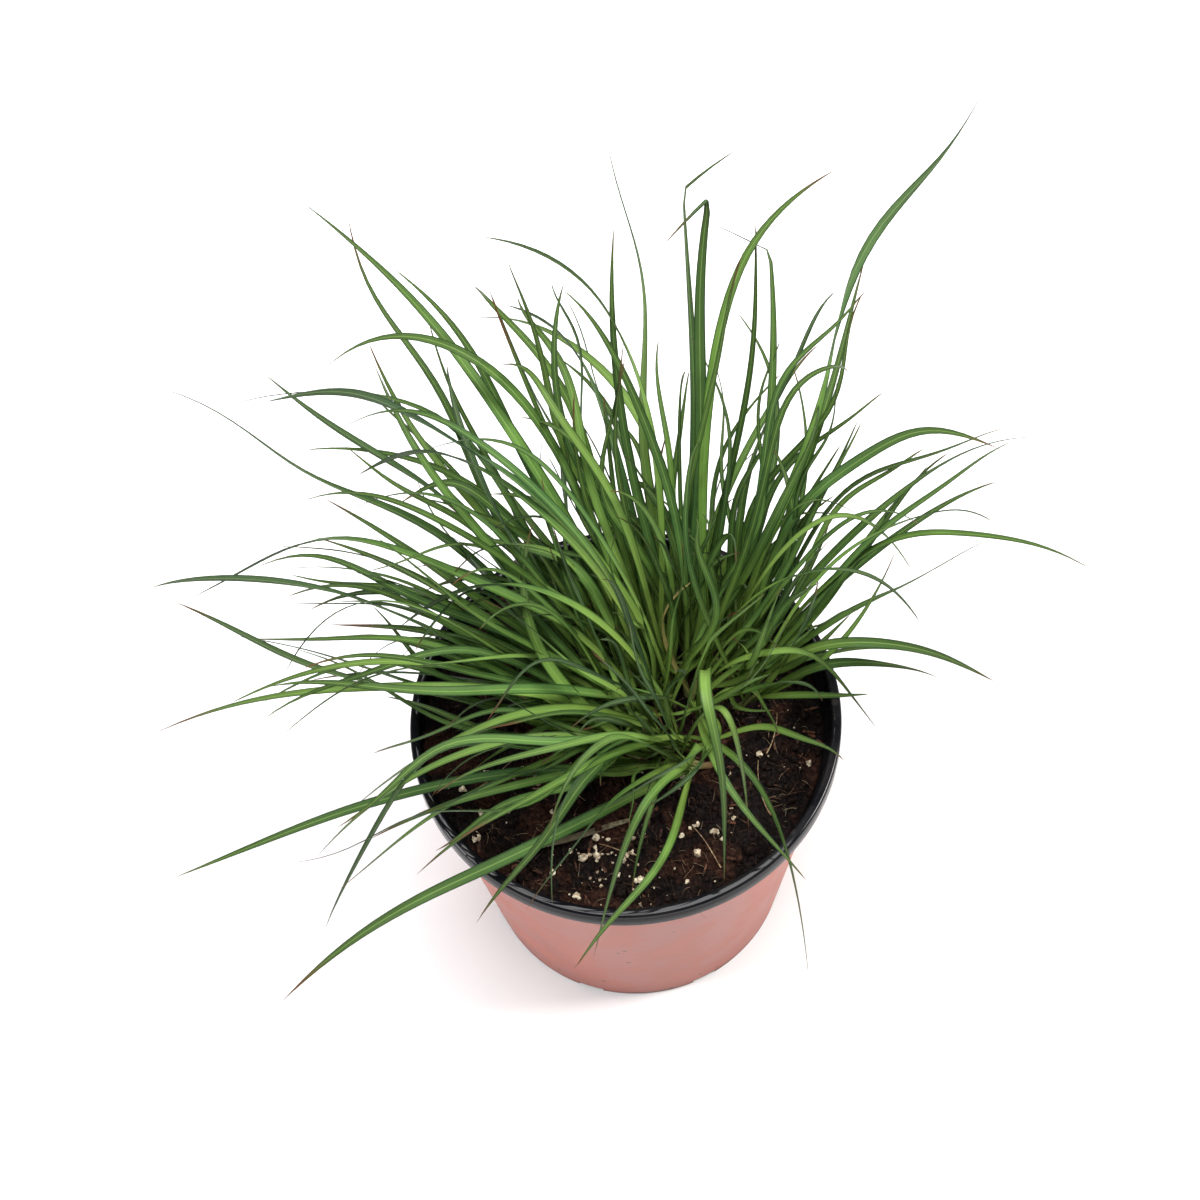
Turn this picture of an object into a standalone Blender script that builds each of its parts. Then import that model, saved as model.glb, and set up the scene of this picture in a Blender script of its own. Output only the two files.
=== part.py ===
"""A clump of ornamental grass growing in a round nursery pot.

The pot is one thin turned shell and the compost fills it. The clump is made of shoots. A shoot is one
grown piece, a short sheath with a few long narrow leaves, so each shoot is one closed solid. The pot
stands on z = 0 with its axis on the origin, the viewer's side is -Y, and lengths are in metres.
"""

import math
import random

import bmesh
import bpy
from mathutils import Matrix, Vector
from mathutils.bvhtree import BVHTree

# Driving dimensions
MM = 0.001
GAP = 0.3 * MM
POT_HEIGHT = 155 * MM
RIM_RADIUS = 95 * MM
RIM_WIDTH = 4.3 * MM
RIM_DEPTH = 9.5 * MM
SHOULDER_DROP = 12 * MM
BASE_RADIUS = 71 * MM
WALL = 1.5 * MM
TURNED_SIDES = 40
SLOTS = 8
SLOT_WIDTH = 12 * MM
SLOT_HEIGHT = 3.5 * MM
COMPOST_TOP = 141 * MM
COMPOST_SLOPE = (-0.035, 0.015)
CROWN_CENTRE = (27 * MM, 10 * MM)
CROWN_HALF_WIDTH = 31 * MM
CROWN_HALF_DEPTH = 30 * MM
SHOOT_SPACING = 6.6 * MM
SHOOTS = 57
SHEATH_RADIUS = 1.7 * MM
SHEATH_LENGTH = 17 * MM
SHEATH_SIDES = 5
FIRST_START = 0.3
START_STEP = 0.15
KEEL = 0.2 * MM
KEEL_SHARE = 0.09
GENTLE_BEND = 24 * MM
STRONG_BEND = 60 * MM
FOLD_AT = 0.86

# The long leaves, walked clockwise around the clump from its left side. Each row places the tip from the
# middle of the crown, by its bearing in degrees from +X and, in millimetres, its reach and its rise above
# the compost. Then come, in millimetres, the arch and the sideways sweep, in degrees the turn of a folded
# tip, where along the leaf the arch peaks, the width in millimetres and the twist in degrees.
LONG_LEAVES = (
    (182, 232, 40, 58, 0, 0, 0.40, 4.0, 60),
    (178, 131, 36, 8, 0, 0, 0.50, 3.6, 0),
    (177, 164, 36, 24, 0, 0, 0.55, 3.2, 40),
    (176, 145, 32, 56, 0, 0, 0.70, 2.4, 0),
    (176, 176, 34, 84, 0, 0, 0.62, 2.2, 0),
    (174, 126, 36, 46, 0, 0, 0.65, 2.6, 0),
    (180, 184, 36, 40, 0, 0, 0.60, 2.2, 0),
    (172, 190, 50, 48, 0, 0, 0.50, 2.8, 30),
    (172, 201, 46, 27, 0, 0, 0.60, 3.2, 90),
    (170, 154, 60, 22, 0, 0, 0.50, 5.4, 0),
    (168, 238, 52, 66, 0, 0, 0.58, 4.2, 70),
    (168, 218, 60, 94, 0, 0, 0.42, 4.8, 40),
    (169, 223, 62, 8, 10, 0, 0.50, 4.3, 170),
    (168, 137, 60, 2, 10, 0, 0.50, 3.2, 0),
    (167, 174, 60, 44, 0, 0, 0.55, 2.8, 0),
    (166, 150, 64, 30, 0, 0, 0.50, 3.0, 0),
    (166, 172, 72, 34, 0, 0, 0.50, 3.0, 0),
    (173, 122, 62, 88, 0, 0, 0.42, 4.6, 20),
    (162, 178, 84, 30, 0, 0, 0.55, 3.4, 30),
    (160, 160, 88, 15, 0, 0, 0.50, 3.2, 0),
    (159, 148, 100, 76, 0, 0, 0.45, 2.4, 0),
    (159, 165, 110, 70, 0, 0, 0.45, 2.8, 0),
    (158, 158, 110, 6, 0, 0, 0.50, 4.6, 0),
    (153, 148, 110, 112, 0, 0, 0.36, 4.2, 20),
    (155, 115, 140, 88, 0, 0, 0.42, 2.4, 0),
    (153, 150, 130, 12, 0, 0, 0.50, 3.0, 0),
    (152, 147, 150, 104, 0, 0, 0.40, 3.2, 40),
    (151, 192, 130, 112, 0, 0, 0.36, 4.3, 190),
    (150, 195, 140, 26, 0, 0, 0.55, 3.8, 160),
    (150, 247, 120, 14, 0, 0, 0.55, 4.8, 30),
    (131, 218, 175, 66, 0, 0, 0.40, 4.8, 30),
    (130, 155, 190, 22, 0, 0, 0.50, 3.6, 0),
    (129, 207, 165, 10, 16, 0, 0.50, 3.8, 20),
    (129, 151, 150, -14, 10, 0, 0.50, 2.8, 0),
    (126, 111, 150, 68, 0, 0, 0.50, 3.2, 20),
    (123, 130, 170, 8, 0, 0, 0.50, 2.4, 0),
    (118, 135, 180, 8, 0, 0, 0.50, 3.6, 20),
    (116, 143, 190, 56, -28, 0, 0.45, 3.8, 40),
    (109, 109, 180, 34, -14, 0, 0.50, 3.4, 0),
    (104, 76, 170, 6, 8, 0, 0.50, 2.8, 0),
    (98, 118, 200, 12, 12, 0, 0.50, 3.4, 0),
    (94, 150, 215, 24, 0, 0, 0.50, 4.4, 20),
    (83, 128, 205, 14, 0, -45, 0.50, 3.8, 60),
    (79, 116, 216, 10, 0, 140, 0.50, 4.6, 20),
    (66, 118, 186, 20, -8, 72, 0.50, 3.6, 40),
    (73, 98, 210, 10, 0, 0, 0.50, 2.4, 0),
    (68, 126, 200, 14, 0, 0, 0.50, 2.6, 0),
    (61, 156, 200, 56, 24, 0, 0.45, 3.8, 30),
    (58, 98, 160, 12, 0, 0, 0.50, 2.4, 0),
    (51, 130, 170, 54, 0, 0, 0.45, 2.8, 30),
    (50, 222, 200, 70, 0, 0, 0.40, 4.2, 300),
    (48, 102, 140, 14, -12, 0, 0.50, 2.4, 0),
    (42, 112, 130, 88, 0, 0, 0.58, 2.6, 40),
    (40, 106, 120, 14, 0, 0, 0.50, 2.4, 0),
    (27, 120, 112, 36, 0, 0, 0.50, 2.4, 0),
    (22, 126, 120, 6, 0, 0, 0.50, 2.4, 30),
    (21, 168, 110, 52, 0, 0, 0.45, 3.0, 60),
    (16, 108, 92, 56, 0, 0, 0.50, 2.2, 0),
    (12, 104, 64, 84, 0, 0, 0.50, 2.2, 0),
    (11, 138, 70, 16, 0, 0, 0.50, 2.6, 40),
    (11, 138, 90, 72, 0, 0, 0.48, 2.4, 0),
    (358, 97, 40, 8, 0, 0, 0.50, 2.4, 0),
    (1, 103, 52, 78, 0, 0, 0.50, 2.4, 0),
    (350, 135, 36, 52, 0, 0, 0.42, 4.0, 20),
    (338, 87, 22, 56, 0, 0, 0.50, 2.8, 0),
    (294, 106, 18, 34, -16, 0, 0.50, 3.0, 30),
    (290, 126, -46, 66, 10, 0, 0.50, 2.8, 60),
    (287, 76, 22, 78, 0, 0, 0.50, 2.8, 0),
    (276, 96, 22, 96, 0, 0, 0.45, 4.6, 20),
    (250, 96, 8, 24, 0, 0, 0.50, 2.2, 0),
    (243, 121, -16, 74, 0, 0, 0.60, 4.2, 60),
    (227, 142, 18, 52, 0, 0, 0.42, 4.6, 20),
    (214, 222, 16, 16, 0, 0, 0.50, 5.0, 20),
    (205, 186, -26, 76, 0, 0, 0.60, 4.0, 150),
    (200, 178, 10, 58, 0, 0, 0.50, 3.8, 0),
    (199, 159, 12, 60, 0, 0, 0.45, 4.6, 20),
    (211, 144, 18, 22, 0, 0, 0.50, 3.6, 0),
    (196, 236, 24, 14, 0, 0, 0.50, 4.2, 30),
    (189, 141, 20, 44, 0, 0, 0.50, 2.2, 0),
)

# Settings of the generated leaves
SEED = 11
SMALL_LEAVES = 80
SMALL_LENGTHS = (70 * MM, 200 * MM)
SMALL_WIDTHS = (2.2 * MM, 4.0 * MM)
MOST_LEAVES = 4
FRONT_THINNING = 0.6
TRIES = 150
LEAN_TRIES = 12
LEAN_STEP = math.radians(4)
EVENNESS = 0.5
EVENING_ROUNDS = 150
FLATTEST = math.radians(42)
STEEPEST = math.radians(86)


def clear_scene():
    for old in list(bpy.data.objects):
        bpy.data.objects.remove(old)


def new_collection(name):
    collection = bpy.data.collections.new(name)
    bpy.context.scene.collection.children.link(collection)
    return collection


def plain_material(name, colour, roughness):
    """A Principled material of one colour."""
    material = bpy.data.materials.new(name)
    material.use_nodes = True
    shader = material.node_tree.nodes["Principled BSDF"]
    shader.inputs["Base Color"].default_value = (*colour, 1)
    shader.inputs["Roughness"].default_value = roughness
    shader.inputs["Metallic"].default_value = 0
    material.diffuse_color = (*colour, 1)
    return material


def add_mesh_object(name, mesh, collection, material):
    """Puts a mesh into the collection as a named object with its material."""
    piece = bpy.data.objects.new(name, mesh)
    piece.data.materials.clear()
    piece.data.materials.append(material)
    collection.objects.link(piece)
    return piece


def as_cutter(piece):
    piece.hide_render = True
    piece.display_type = "WIRE"
    return piece


def add_boolean(piece, other, operation):
    boolean = piece.modifiers.new(operation.title(), "BOOLEAN")
    boolean.operation = operation
    boolean.solver = "EXACT"
    boolean.object = other


def turned(name, outline, collection, material):
    """A solid turned about Z from an outline of (radius, height) that runs down its outer side."""
    mesh = bpy.data.meshes.new(name)
    edges = [(i, i + 1) for i in range(len(outline) - 1)]
    mesh.from_pydata([(radius, 0, height) for radius, height in outline], edges, [])
    piece = add_mesh_object(name, mesh, collection, material)
    screw = piece.modifiers.new("Turn", "SCREW")
    screw.angle = math.tau
    screw.steps = TURNED_SIDES
    screw.render_steps = TURNED_SIDES
    screw.use_merge_vertices = True
    screw.merge_threshold = 0.00001
    screw.use_smooth_shade = True
    return piece


def pot_outline():
    """The shell's outline, from the inner edge of the rim over the rim, down outside and up inside."""
    lip = RIM_RADIUS - RIM_WIDTH
    shoulder = POT_HEIGHT - SHOULDER_DROP
    return (
        (lip + 0.8 * MM, POT_HEIGHT),
        (RIM_RADIUS - 0.8 * MM, POT_HEIGHT),
        (RIM_RADIUS, POT_HEIGHT - 1.0 * MM),
        (RIM_RADIUS, POT_HEIGHT - RIM_DEPTH),
        (lip + 1.2 * MM, POT_HEIGHT - RIM_DEPTH),
        (lip + 0.9 * MM, shoulder),
        (lip - 1.0 * MM, shoulder - 1.8 * MM),
        (BASE_RADIUS + 0.2 * MM, 1.2 * MM),
        (BASE_RADIUS - 0.8 * MM, 0),
        (0, 0),
        (0, WALL),
        (BASE_RADIUS - WALL - 0.4 * MM, WALL),
        (lip - 1.0 * MM - WALL, shoulder - 1.2 * MM),
        (lip - WALL + 0.9 * MM, shoulder + 0.8 * MM),
        (lip - 0.2 * MM, POT_HEIGHT - 1.0 * MM),
        (lip + 0.8 * MM, POT_HEIGHT),
    )


def build_pot(parts, cutters, material):
    """The shell, with drainage slots cut through the corner between its wall and its base."""
    pot = turned("pot", pot_outline(), parts, material)
    slots = bmesh.new()
    for number in range(SLOTS):
        turn = Matrix.Rotation(math.tau * (number + 0.5) / SLOTS, 4, "Z")
        place = Matrix.Translation((BASE_RADIUS + 1 * MM, 0, SLOT_HEIGHT / 2 - 1 * MM))
        size = Matrix.Diagonal((10 * MM, SLOT_WIDTH, SLOT_HEIGHT + 2 * MM, 1))
        bmesh.ops.create_cube(slots, size=1, matrix=turn @ place @ size)
    mesh = bpy.data.meshes.new("slot_cutters")
    slots.to_mesh(mesh)
    slots.free()
    add_boolean(pot, as_cutter(add_mesh_object("slot_cutters", mesh, cutters, material)), "DIFFERENCE")
    return pot


def compost_height(x, y):
    """The compost lies a little lower on the right of the pot and at its front."""
    return COMPOST_TOP + COMPOST_SLOPE[0] * x + COMPOST_SLOPE[1] * y


def build_compost(parts, cutters, material):
    """The compost, a plug that fills the pot and is planed off along its sloping top."""
    lip = RIM_RADIUS - RIM_WIDTH
    neck = POT_HEIGHT - SHOULDER_DROP - 3 * MM
    wall_gap = WALL + 0.4 * MM + 1.4 * GAP
    top = POT_HEIGHT - 2 * MM
    outline = (
        (0, top),
        (lip - 3.6 * MM, top),
        (lip - 3.6 * MM, neck),
        (BASE_RADIUS - wall_gap, WALL + GAP),
        (0, WALL + GAP),
    )
    compost = turned("compost", outline, parts, material)
    planing = bmesh.new()
    bmesh.ops.create_cube(planing, size=1)
    for corner in planing.verts:
        corner.co.x *= 3 * RIM_RADIUS
        corner.co.y *= 3 * RIM_RADIUS
        floor = compost_height(corner.co.x, corner.co.y)
        corner.co.z = floor if corner.co.z < 0 else 2 * POT_HEIGHT
    mesh = bpy.data.meshes.new("compost_planing")
    planing.to_mesh(mesh)
    planing.free()
    add_boolean(compost, as_cutter(add_mesh_object("compost_planing", mesh, cutters, material)), "DIFFERENCE")
    return compost


class Leaf:
    """One leaf: a long blade that rises from its sheath, arches over and narrows to a fine tip."""

    def __init__(self, tip, arch, sweep, fold, peak, width, twist):
        self.tip = tip
        self.arch = arch
        self.sweep = sweep
        self.fold = fold
        self.peak = peak
        self.width = width
        self.twist = twist

    def moved(self, lift, swing, shift):
        """A copy whose arch, sweep and tip differ a little."""
        tip = self.tip + self.side(Vector((*CROWN_CENTRE, 0))) * shift
        return Leaf(tip, self.arch + lift, self.sweep + swing, self.fold, self.peak, self.width, self.twist)

    def out(self, foot):
        """The level direction in which the leaf leads away from its foot."""
        return Vector((self.tip.x - foot.x, self.tip.y - foot.y, 0)).normalized()

    def side(self, foot):
        out = self.out(foot)
        return Vector((-out.y, out.x, 0))

    def steepness(self, foot):
        """The angle above the horizontal at which the leaf sets out."""
        level = math.hypot(self.tip.x - foot.x, self.tip.y - foot.y)
        return math.atan2(self.tip.z - foot.z + 3 * self.arch, level)

    def stations(self):
        """Straight leaves need few sections, arched, twisted and folded ones more."""
        bend = abs(self.arch) + abs(self.sweep)
        return 5 + (bend > GENTLE_BEND) + (bend > STRONG_BEND) + (self.twist > 1) + 2 * (self.fold != 0)

    def point(self, foot, start, t):
        """The midrib at the fraction t of the leaf's length. It sets out from the start on the sheath."""
        along = min(1, t / FOLD_AT) if self.fold else t
        bow = along ** (math.log(0.5) / math.log(self.peak))
        point = foot.lerp(self.tip, along)
        point += self.side(foot) * self.sweep * 4 * along * (1 - along)
        point.z += self.arch * 4 * bow * (1 - bow)
        point += (start - foot) * (1 - along) ** 2
        if self.fold and t > FOLD_AT:
            turned = self.out(foot)
            turned.rotate(Matrix.Rotation(self.fold, 3, "Z"))
            point += turned * (self.tip - foot).length * (t - FOLD_AT)
        return point

    def half_width(self, t):
        """Narrow where it leaves the sheath, widest a third of the way up, and fine at the tip."""
        opening = 0.5 + 0.5 * min(1, t / 0.25)
        closing = 1 - max(0, (t - 0.3) / 0.7) ** 2.6
        return self.width / 2 * opening * closing

    def section(self, foot, start, t, swell):
        """The three corners of the channelled section: two edges and the keel."""
        step = 0.01
        here = self.point(foot, start, t)
        along = self.point(foot, start, min(1, t + step)) - self.point(foot, start, max(0, t - step))
        along.normalize()
        side = self.side(foot)
        across = (side - along * side.dot(along)).normalized()
        across.rotate(Matrix.Rotation(self.twist * t * t * (3 - 2 * t), 3, along))
        facing = across.cross(along)
        half = self.half_width(t) + swell
        keel = KEEL + KEEL_SHARE * self.width * (1 - t) + swell
        return (
            here + across * half + facing * keel,
            here - across * half + facing * keel,
            here - facing * keel,
        )


def tip_point(centre, bearing, reach, rise):
    """A tip placed by its bearing and reach from a centre and its rise above the compost."""
    turn = math.radians(bearing)
    return Vector((centre[0] + reach * math.cos(turn), centre[1] + reach * math.sin(turn), COMPOST_TOP + rise))


def long_leaf(bearing, reach, rise, arch, sweep, fold, peak, width, twist):
    """A leaf from a row of the table of long leaves."""
    tip = tip_point(CROWN_CENTRE, bearing, reach * MM, rise * MM)
    return Leaf(tip, arch * MM, sweep * MM, math.radians(fold), peak, width * MM, math.radians(twist))


def leaf_mesh(name, leaf, foot, start, swell=0.0):
    """The closed blade: a loft through its sections, which flatten and narrow to a point."""
    blade = bmesh.new()
    rings = []
    last = leaf.stations() - 1
    for number in range(last):
        corners = leaf.section(foot, start, number / last, swell)
        rings.append([blade.verts.new(corner) for corner in corners])
    tip = blade.verts.new(leaf.point(foot, start, 1))
    blade.faces.new(rings[0])
    for lower, upper in zip(rings, rings[1:]):
        for i in range(3):
            j = (i + 1) % 3
            blade.faces.new((lower[i], upper[i], upper[j], lower[j]))
    for i in range(3):
        blade.faces.new((rings[-1][i], tip, rings[-1][(i + 1) % 3]))
    bmesh.ops.triangulate(blade, faces=blade.faces)
    bmesh.ops.recalc_face_normals(blade, faces=blade.faces)
    mesh = bpy.data.meshes.new(name)
    blade.to_mesh(mesh)
    blade.free()
    return mesh


def sheath_mesh(name, foot, axis, swell=0.0):
    """The sheath, a short tapered stem that stands on the compost and leans the way of its leaves."""
    sheath = bmesh.new()
    radius = SHEATH_RADIUS + swell
    bmesh.ops.create_cone(
        sheath, cap_ends=True, segments=SHEATH_SIDES, radius1=radius, radius2=0.7 * radius, depth=SHEATH_LENGTH + 2 * swell
    )
    lean = Vector((0, 0, 1)).rotation_difference(axis).to_matrix().to_4x4()
    lift = Matrix.Translation((0, 0, SHEATH_LENGTH / 2))
    bmesh.ops.transform(sheath, matrix=Matrix.Translation(foot) @ lean @ lift, verts=sheath.verts)
    bmesh.ops.triangulate(sheath, faces=sheath.faces)
    mesh = bpy.data.meshes.new(name)
    sheath.to_mesh(mesh)
    sheath.free()
    return mesh


def tree_of(mesh):
    mesh.calc_loop_triangles()
    return BVHTree.FromPolygons(
        [vertex.co for vertex in mesh.vertices], [tuple(triangle.vertices) for triangle in mesh.loop_triangles]
    )


def touches(mesh, others):
    tree = tree_of(mesh)
    return any(tree.overlap(other) for other in others)


class Shoot:
    """One shoot of the clump: its foot, its sheath, which way it leans, and its leaves."""

    def __init__(self, leaf):
        self.leaves = [leaf]
        self.foot = Vector((*CROWN_CENTRE, COMPOST_TOP))
        self.axis = Vector((0, 0, 1))
        self.meshes = []
        self.trees = []

    def bearing(self, foot):
        """The bearing of the leading leaf, from 0 to a whole turn, seen from a foot."""
        out = self.leaves[0].out(foot)
        return math.atan2(out.y, out.x) % math.tau

    def lean(self, steepness):
        """Stands the sheath on the compost, leaning the way its first leaf leads."""
        out = self.leaves[0].out(self.foot)
        self.axis = out * math.cos(steepness) + Vector((0, 0, math.sin(steepness)))
        lift = GAP + SHEATH_RADIUS * math.cos(steepness)
        self.foot.z = compost_height(self.foot.x, self.foot.y) + lift

    def start(self, number):
        """Where a leaf leaves the sheath's axis: the later the leaf, the higher."""
        return self.foot + self.axis * SHEATH_LENGTH * (FIRST_START + START_STEP * (number % MOST_LEAVES))


def place_feet(shoots):
    """Sets the feet out over the crown, the steepest shoots in its middle, and evens out their spacing."""
    centre = Vector((*CROWN_CENTRE, COMPOST_TOP))
    ranked = sorted(shoots, key=lambda shoot: -shoot.leaves[0].steepness(centre))
    around = sorted(shoots, key=lambda shoot: shoot.bearing(centre))
    for rank, shoot in enumerate(ranked):
        radius = math.sqrt((rank + 0.5) / len(ranked))
        even_angle = math.tau * around.index(shoot) / len(around)
        angle = EVENNESS * even_angle + (1 - EVENNESS) * shoot.bearing(centre)
        shoot.foot.x += CROWN_HALF_WIDTH * radius * math.cos(angle)
        shoot.foot.y += CROWN_HALF_DEPTH * radius * math.sin(angle)
    for _ in range(EVENING_ROUNDS):
        for i, one in enumerate(shoots):
            for other in shoots[:i]:
                apart = one.foot - other.foot
                short = SHOOT_SPACING - apart.length
                if short > 0:
                    push = apart.normalized() * short * 0.5
                    one.foot += push
                    other.foot -= push


def share_out(leaves):
    """Gives each shoot a leading leaf, and the leaves left over to the shoots that lead most like them."""
    ordered = sorted(leaves, key=lambda leaf: -leaf.width * leaf.tip.length)
    shoots = [Shoot(leaf) for leaf in ordered[:SHOOTS]]
    for leaf in ordered[SHOOTS:]:
        single = [shoot for shoot in shoots if len(shoot.leaves) == 1]
        nearest = min(single, key=lambda shoot: (shoot.leaves[0].tip - leaf.tip).length)
        nearest.leaves.append(leaf)
    return shoots


def small_leaf(shoot, chance):
    """A generated leaf that leads roughly the way of its shoot."""
    lead = shoot.leaves[0]
    out = lead.out(shoot.foot)
    length = chance.uniform(*SMALL_LENGTHS)
    bearing = math.degrees(math.atan2(out.y, out.x)) + chance.gauss(0, 28)
    angle = lead.steepness(shoot.foot) + math.radians(chance.gauss(-14, 12))
    angle = min(math.radians(80), max(math.radians(24), angle))
    return Leaf(
        tip_point(shoot.foot, bearing, length * math.cos(angle), length * math.sin(angle)),
        arch=length * chance.uniform(0.0, 0.25),
        sweep=length * chance.uniform(-0.1, 0.1),
        fold=0,
        peak=chance.uniform(0.4, 0.6),
        width=chance.uniform(*SMALL_WIDTHS),
        twist=math.radians(chance.choice((0, 0, 30, 90))),
    )


def nudges():
    """Small changes of arch, sweep and tip, the gentlest first."""
    steps = (0, 3, -3, 6, -6, 10, -10, 15, -15)
    shifts = (0, 4, -4, 8, -8)
    every = [(lift, swing, shift) for lift in steps for swing in steps for shift in shifts]
    every.sort(key=lambda nudge: sum(abs(part) for part in nudge))
    return [Vector(nudge) * MM for nudge in every[:TRIES]]


def grow(shoot, leaf, number, obstacles):
    """Adds a leaf to its shoot, bent slightly aside where it would run through something else."""
    start = shoot.start(number)
    for nudge in nudges():
        bent = leaf.moved(*nudge)
        guard = leaf_mesh("guard", bent, shoot.foot, start, swell=GAP)
        blocked = touches(guard, obstacles)
        bpy.data.meshes.remove(guard)
        if not blocked:
            mesh = leaf_mesh("leaf", bent, shoot.foot, start)
            shoot.meshes.append(mesh)
            shoot.trees.append(tree_of(mesh))
            return True
    return False


def plant_sheaths(shoots, ground):
    """Stands each sheath, leaning less where it would run into another."""
    for shoot in shoots:
        others = trees_beside(shoot, shoots)
        steepness = min(STEEPEST, max(FLATTEST, shoot.leaves[0].steepness(shoot.foot)))
        for _ in range(LEAN_TRIES):
            shoot.lean(steepness)
            guard = sheath_mesh("guard", shoot.foot, shoot.axis, swell=GAP / 2)
            blocked = touches(guard, others + ground)
            bpy.data.meshes.remove(guard)
            if not blocked:
                break
            steepness = min(STEEPEST, steepness + LEAN_STEP)
        mesh = sheath_mesh("sheath", shoot.foot, shoot.axis)
        shoot.meshes.append(mesh)
        shoot.trees.append(tree_of(mesh))


def trees_beside(shoot, shoots):
    return [tree for other in shoots if other is not shoot for tree in other.trees]


def grow_leaves(shoots, ground):
    """Grows the long leaves first, the leading before the second, and then the generated ones."""
    for rank in range(2):
        for shoot in shoots:
            if rank < len(shoot.leaves):
                grow(shoot, shoot.leaves[rank], rank, trees_beside(shoot, shoots) + ground)
    chance = random.Random(SEED)
    grown = 0
    while grown < SMALL_LEAVES:
        shoot = shoots[chance.randrange(len(shoots))]
        leads_back = shoot.leaves[0].tip.y > CROWN_CENTRE[1]
        if len(shoot.meshes) > MOST_LEAVES or (not leads_back and chance.random() < FRONT_THINNING):
            continue
        leaf = small_leaf(shoot, chance)
        grown += grow(shoot, leaf, len(shoot.meshes) - 1, trees_beside(shoot, shoots) + ground)


def build_shoots(parts, cutters, ground, material):
    """Makes each shoot one solid: its leaves are joined to its sheath."""
    leaves = [long_leaf(*row) for row in LONG_LEAVES]
    shoots = share_out(leaves)
    place_feet(shoots)
    plant_sheaths(shoots, ground)
    grow_leaves(shoots, ground)
    shoots.sort(key=lambda shoot: -math.remainder(math.atan2(shoot.axis.y, shoot.axis.x) - math.pi, math.tau))
    for number, shoot in enumerate(shoots, start=1):
        name = f"shoot_{number:02d}"
        sheath = add_mesh_object(name, shoot.meshes[0], parts, material)
        for order, mesh in enumerate(shoot.meshes[1:], start=1):
            leaf = add_mesh_object(f"{name}_leaf_{order}", mesh, cutters, material)
            add_boolean(sheath, as_cutter(leaf), "UNION")


def ground_trees(pieces):
    """The pot and the compost, as the leaves have to clear them."""
    bpy.context.view_layer.update()
    graph = bpy.context.evaluated_depsgraph_get()
    return [BVHTree.FromObject(piece, graph) for piece in pieces]


def main():
    clear_scene()
    parts = new_collection("potted_grass")
    cutters = new_collection("cutters")
    terracotta = plain_material("terracotta_plastic", (0.58, 0.27, 0.21), 0.45)
    peat = plain_material("peat_compost", (0.035, 0.022, 0.016), 0.95)
    green = plain_material("grass_leaf", (0.09, 0.22, 0.06), 0.5)
    pot = build_pot(parts, cutters, terracotta)
    compost = build_compost(parts, cutters, peat)
    build_shoots(parts, cutters, ground_trees((pot, compost)), green)


main()
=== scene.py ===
import math
import random
from collections import namedtuple

import bmesh
import bpy
from mathutils import Matrix, Vector, noise
from mathutils.bvhtree import BVHTree


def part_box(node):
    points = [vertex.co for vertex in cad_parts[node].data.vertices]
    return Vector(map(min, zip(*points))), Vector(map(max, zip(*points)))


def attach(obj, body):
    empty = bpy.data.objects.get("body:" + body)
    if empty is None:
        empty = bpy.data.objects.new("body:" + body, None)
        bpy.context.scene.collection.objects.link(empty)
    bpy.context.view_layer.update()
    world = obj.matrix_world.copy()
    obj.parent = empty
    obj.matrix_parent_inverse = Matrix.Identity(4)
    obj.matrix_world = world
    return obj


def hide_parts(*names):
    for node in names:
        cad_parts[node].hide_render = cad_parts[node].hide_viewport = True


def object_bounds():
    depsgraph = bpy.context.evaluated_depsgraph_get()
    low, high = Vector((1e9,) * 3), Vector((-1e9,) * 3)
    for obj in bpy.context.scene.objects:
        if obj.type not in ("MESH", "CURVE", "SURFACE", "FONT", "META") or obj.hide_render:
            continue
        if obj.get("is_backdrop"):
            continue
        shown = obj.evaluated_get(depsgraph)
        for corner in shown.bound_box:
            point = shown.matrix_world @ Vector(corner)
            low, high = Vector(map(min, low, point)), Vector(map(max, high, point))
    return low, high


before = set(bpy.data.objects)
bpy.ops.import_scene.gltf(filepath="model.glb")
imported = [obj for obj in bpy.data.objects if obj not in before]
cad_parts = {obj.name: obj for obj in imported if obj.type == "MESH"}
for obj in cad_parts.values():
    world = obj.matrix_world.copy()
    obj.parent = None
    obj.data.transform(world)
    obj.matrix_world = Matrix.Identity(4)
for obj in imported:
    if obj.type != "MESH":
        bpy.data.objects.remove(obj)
solid_low, solid_high = (list(corner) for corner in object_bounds())
MM = 0.001

# ---- The pot ---------------------------------------------------------------------------------------
# One thin shell moulded from two plastics: satin terracotta outside, glossy black inside and over the
# rolled rim. It is turned from one outline, and small drainage slots are cut through its foot.

pot_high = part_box("pot")[1]
POT_HEIGHT = pot_high.z
RIM_RADIUS = pot_high.x
RIM_WIDTH = 4.3 * MM
RIM_DEPTH = 9.5 * MM
RIM_ROUND = 1.5 * MM
SHOULDER_DROP = 12 * MM
BASE_RADIUS = 71 * MM
WALL = 1.5 * MM
LIP_RADIUS = RIM_RADIUS - RIM_WIDTH
SHOULDER = POT_HEIGHT - SHOULDER_DROP
NECK_RADIUS = LIP_RADIUS - 1.0 * MM
INNER_NECK = SHOULDER - 1.2 * MM
POT_STEPS = 192
SLOTS = 8
SLOT_WIDTH = 12 * MM
SLOT_HEIGHT = 3.5 * MM

TERRACOTTA = (0.275, 0.064, 0.042, 1)
TERRACOTTA_DUSTY = (0.365, 0.112, 0.080, 1)
SOIL = (0.045, 0.020, 0.012, 1)
FOOT_STAIN = (0.13, 0.05, 0.032, 1)
BLACK_PLASTIC = (0.0035, 0.0035, 0.0050, 1)
DRIED_SPLASH = (0.10, 0.085, 0.075, 1)


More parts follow.
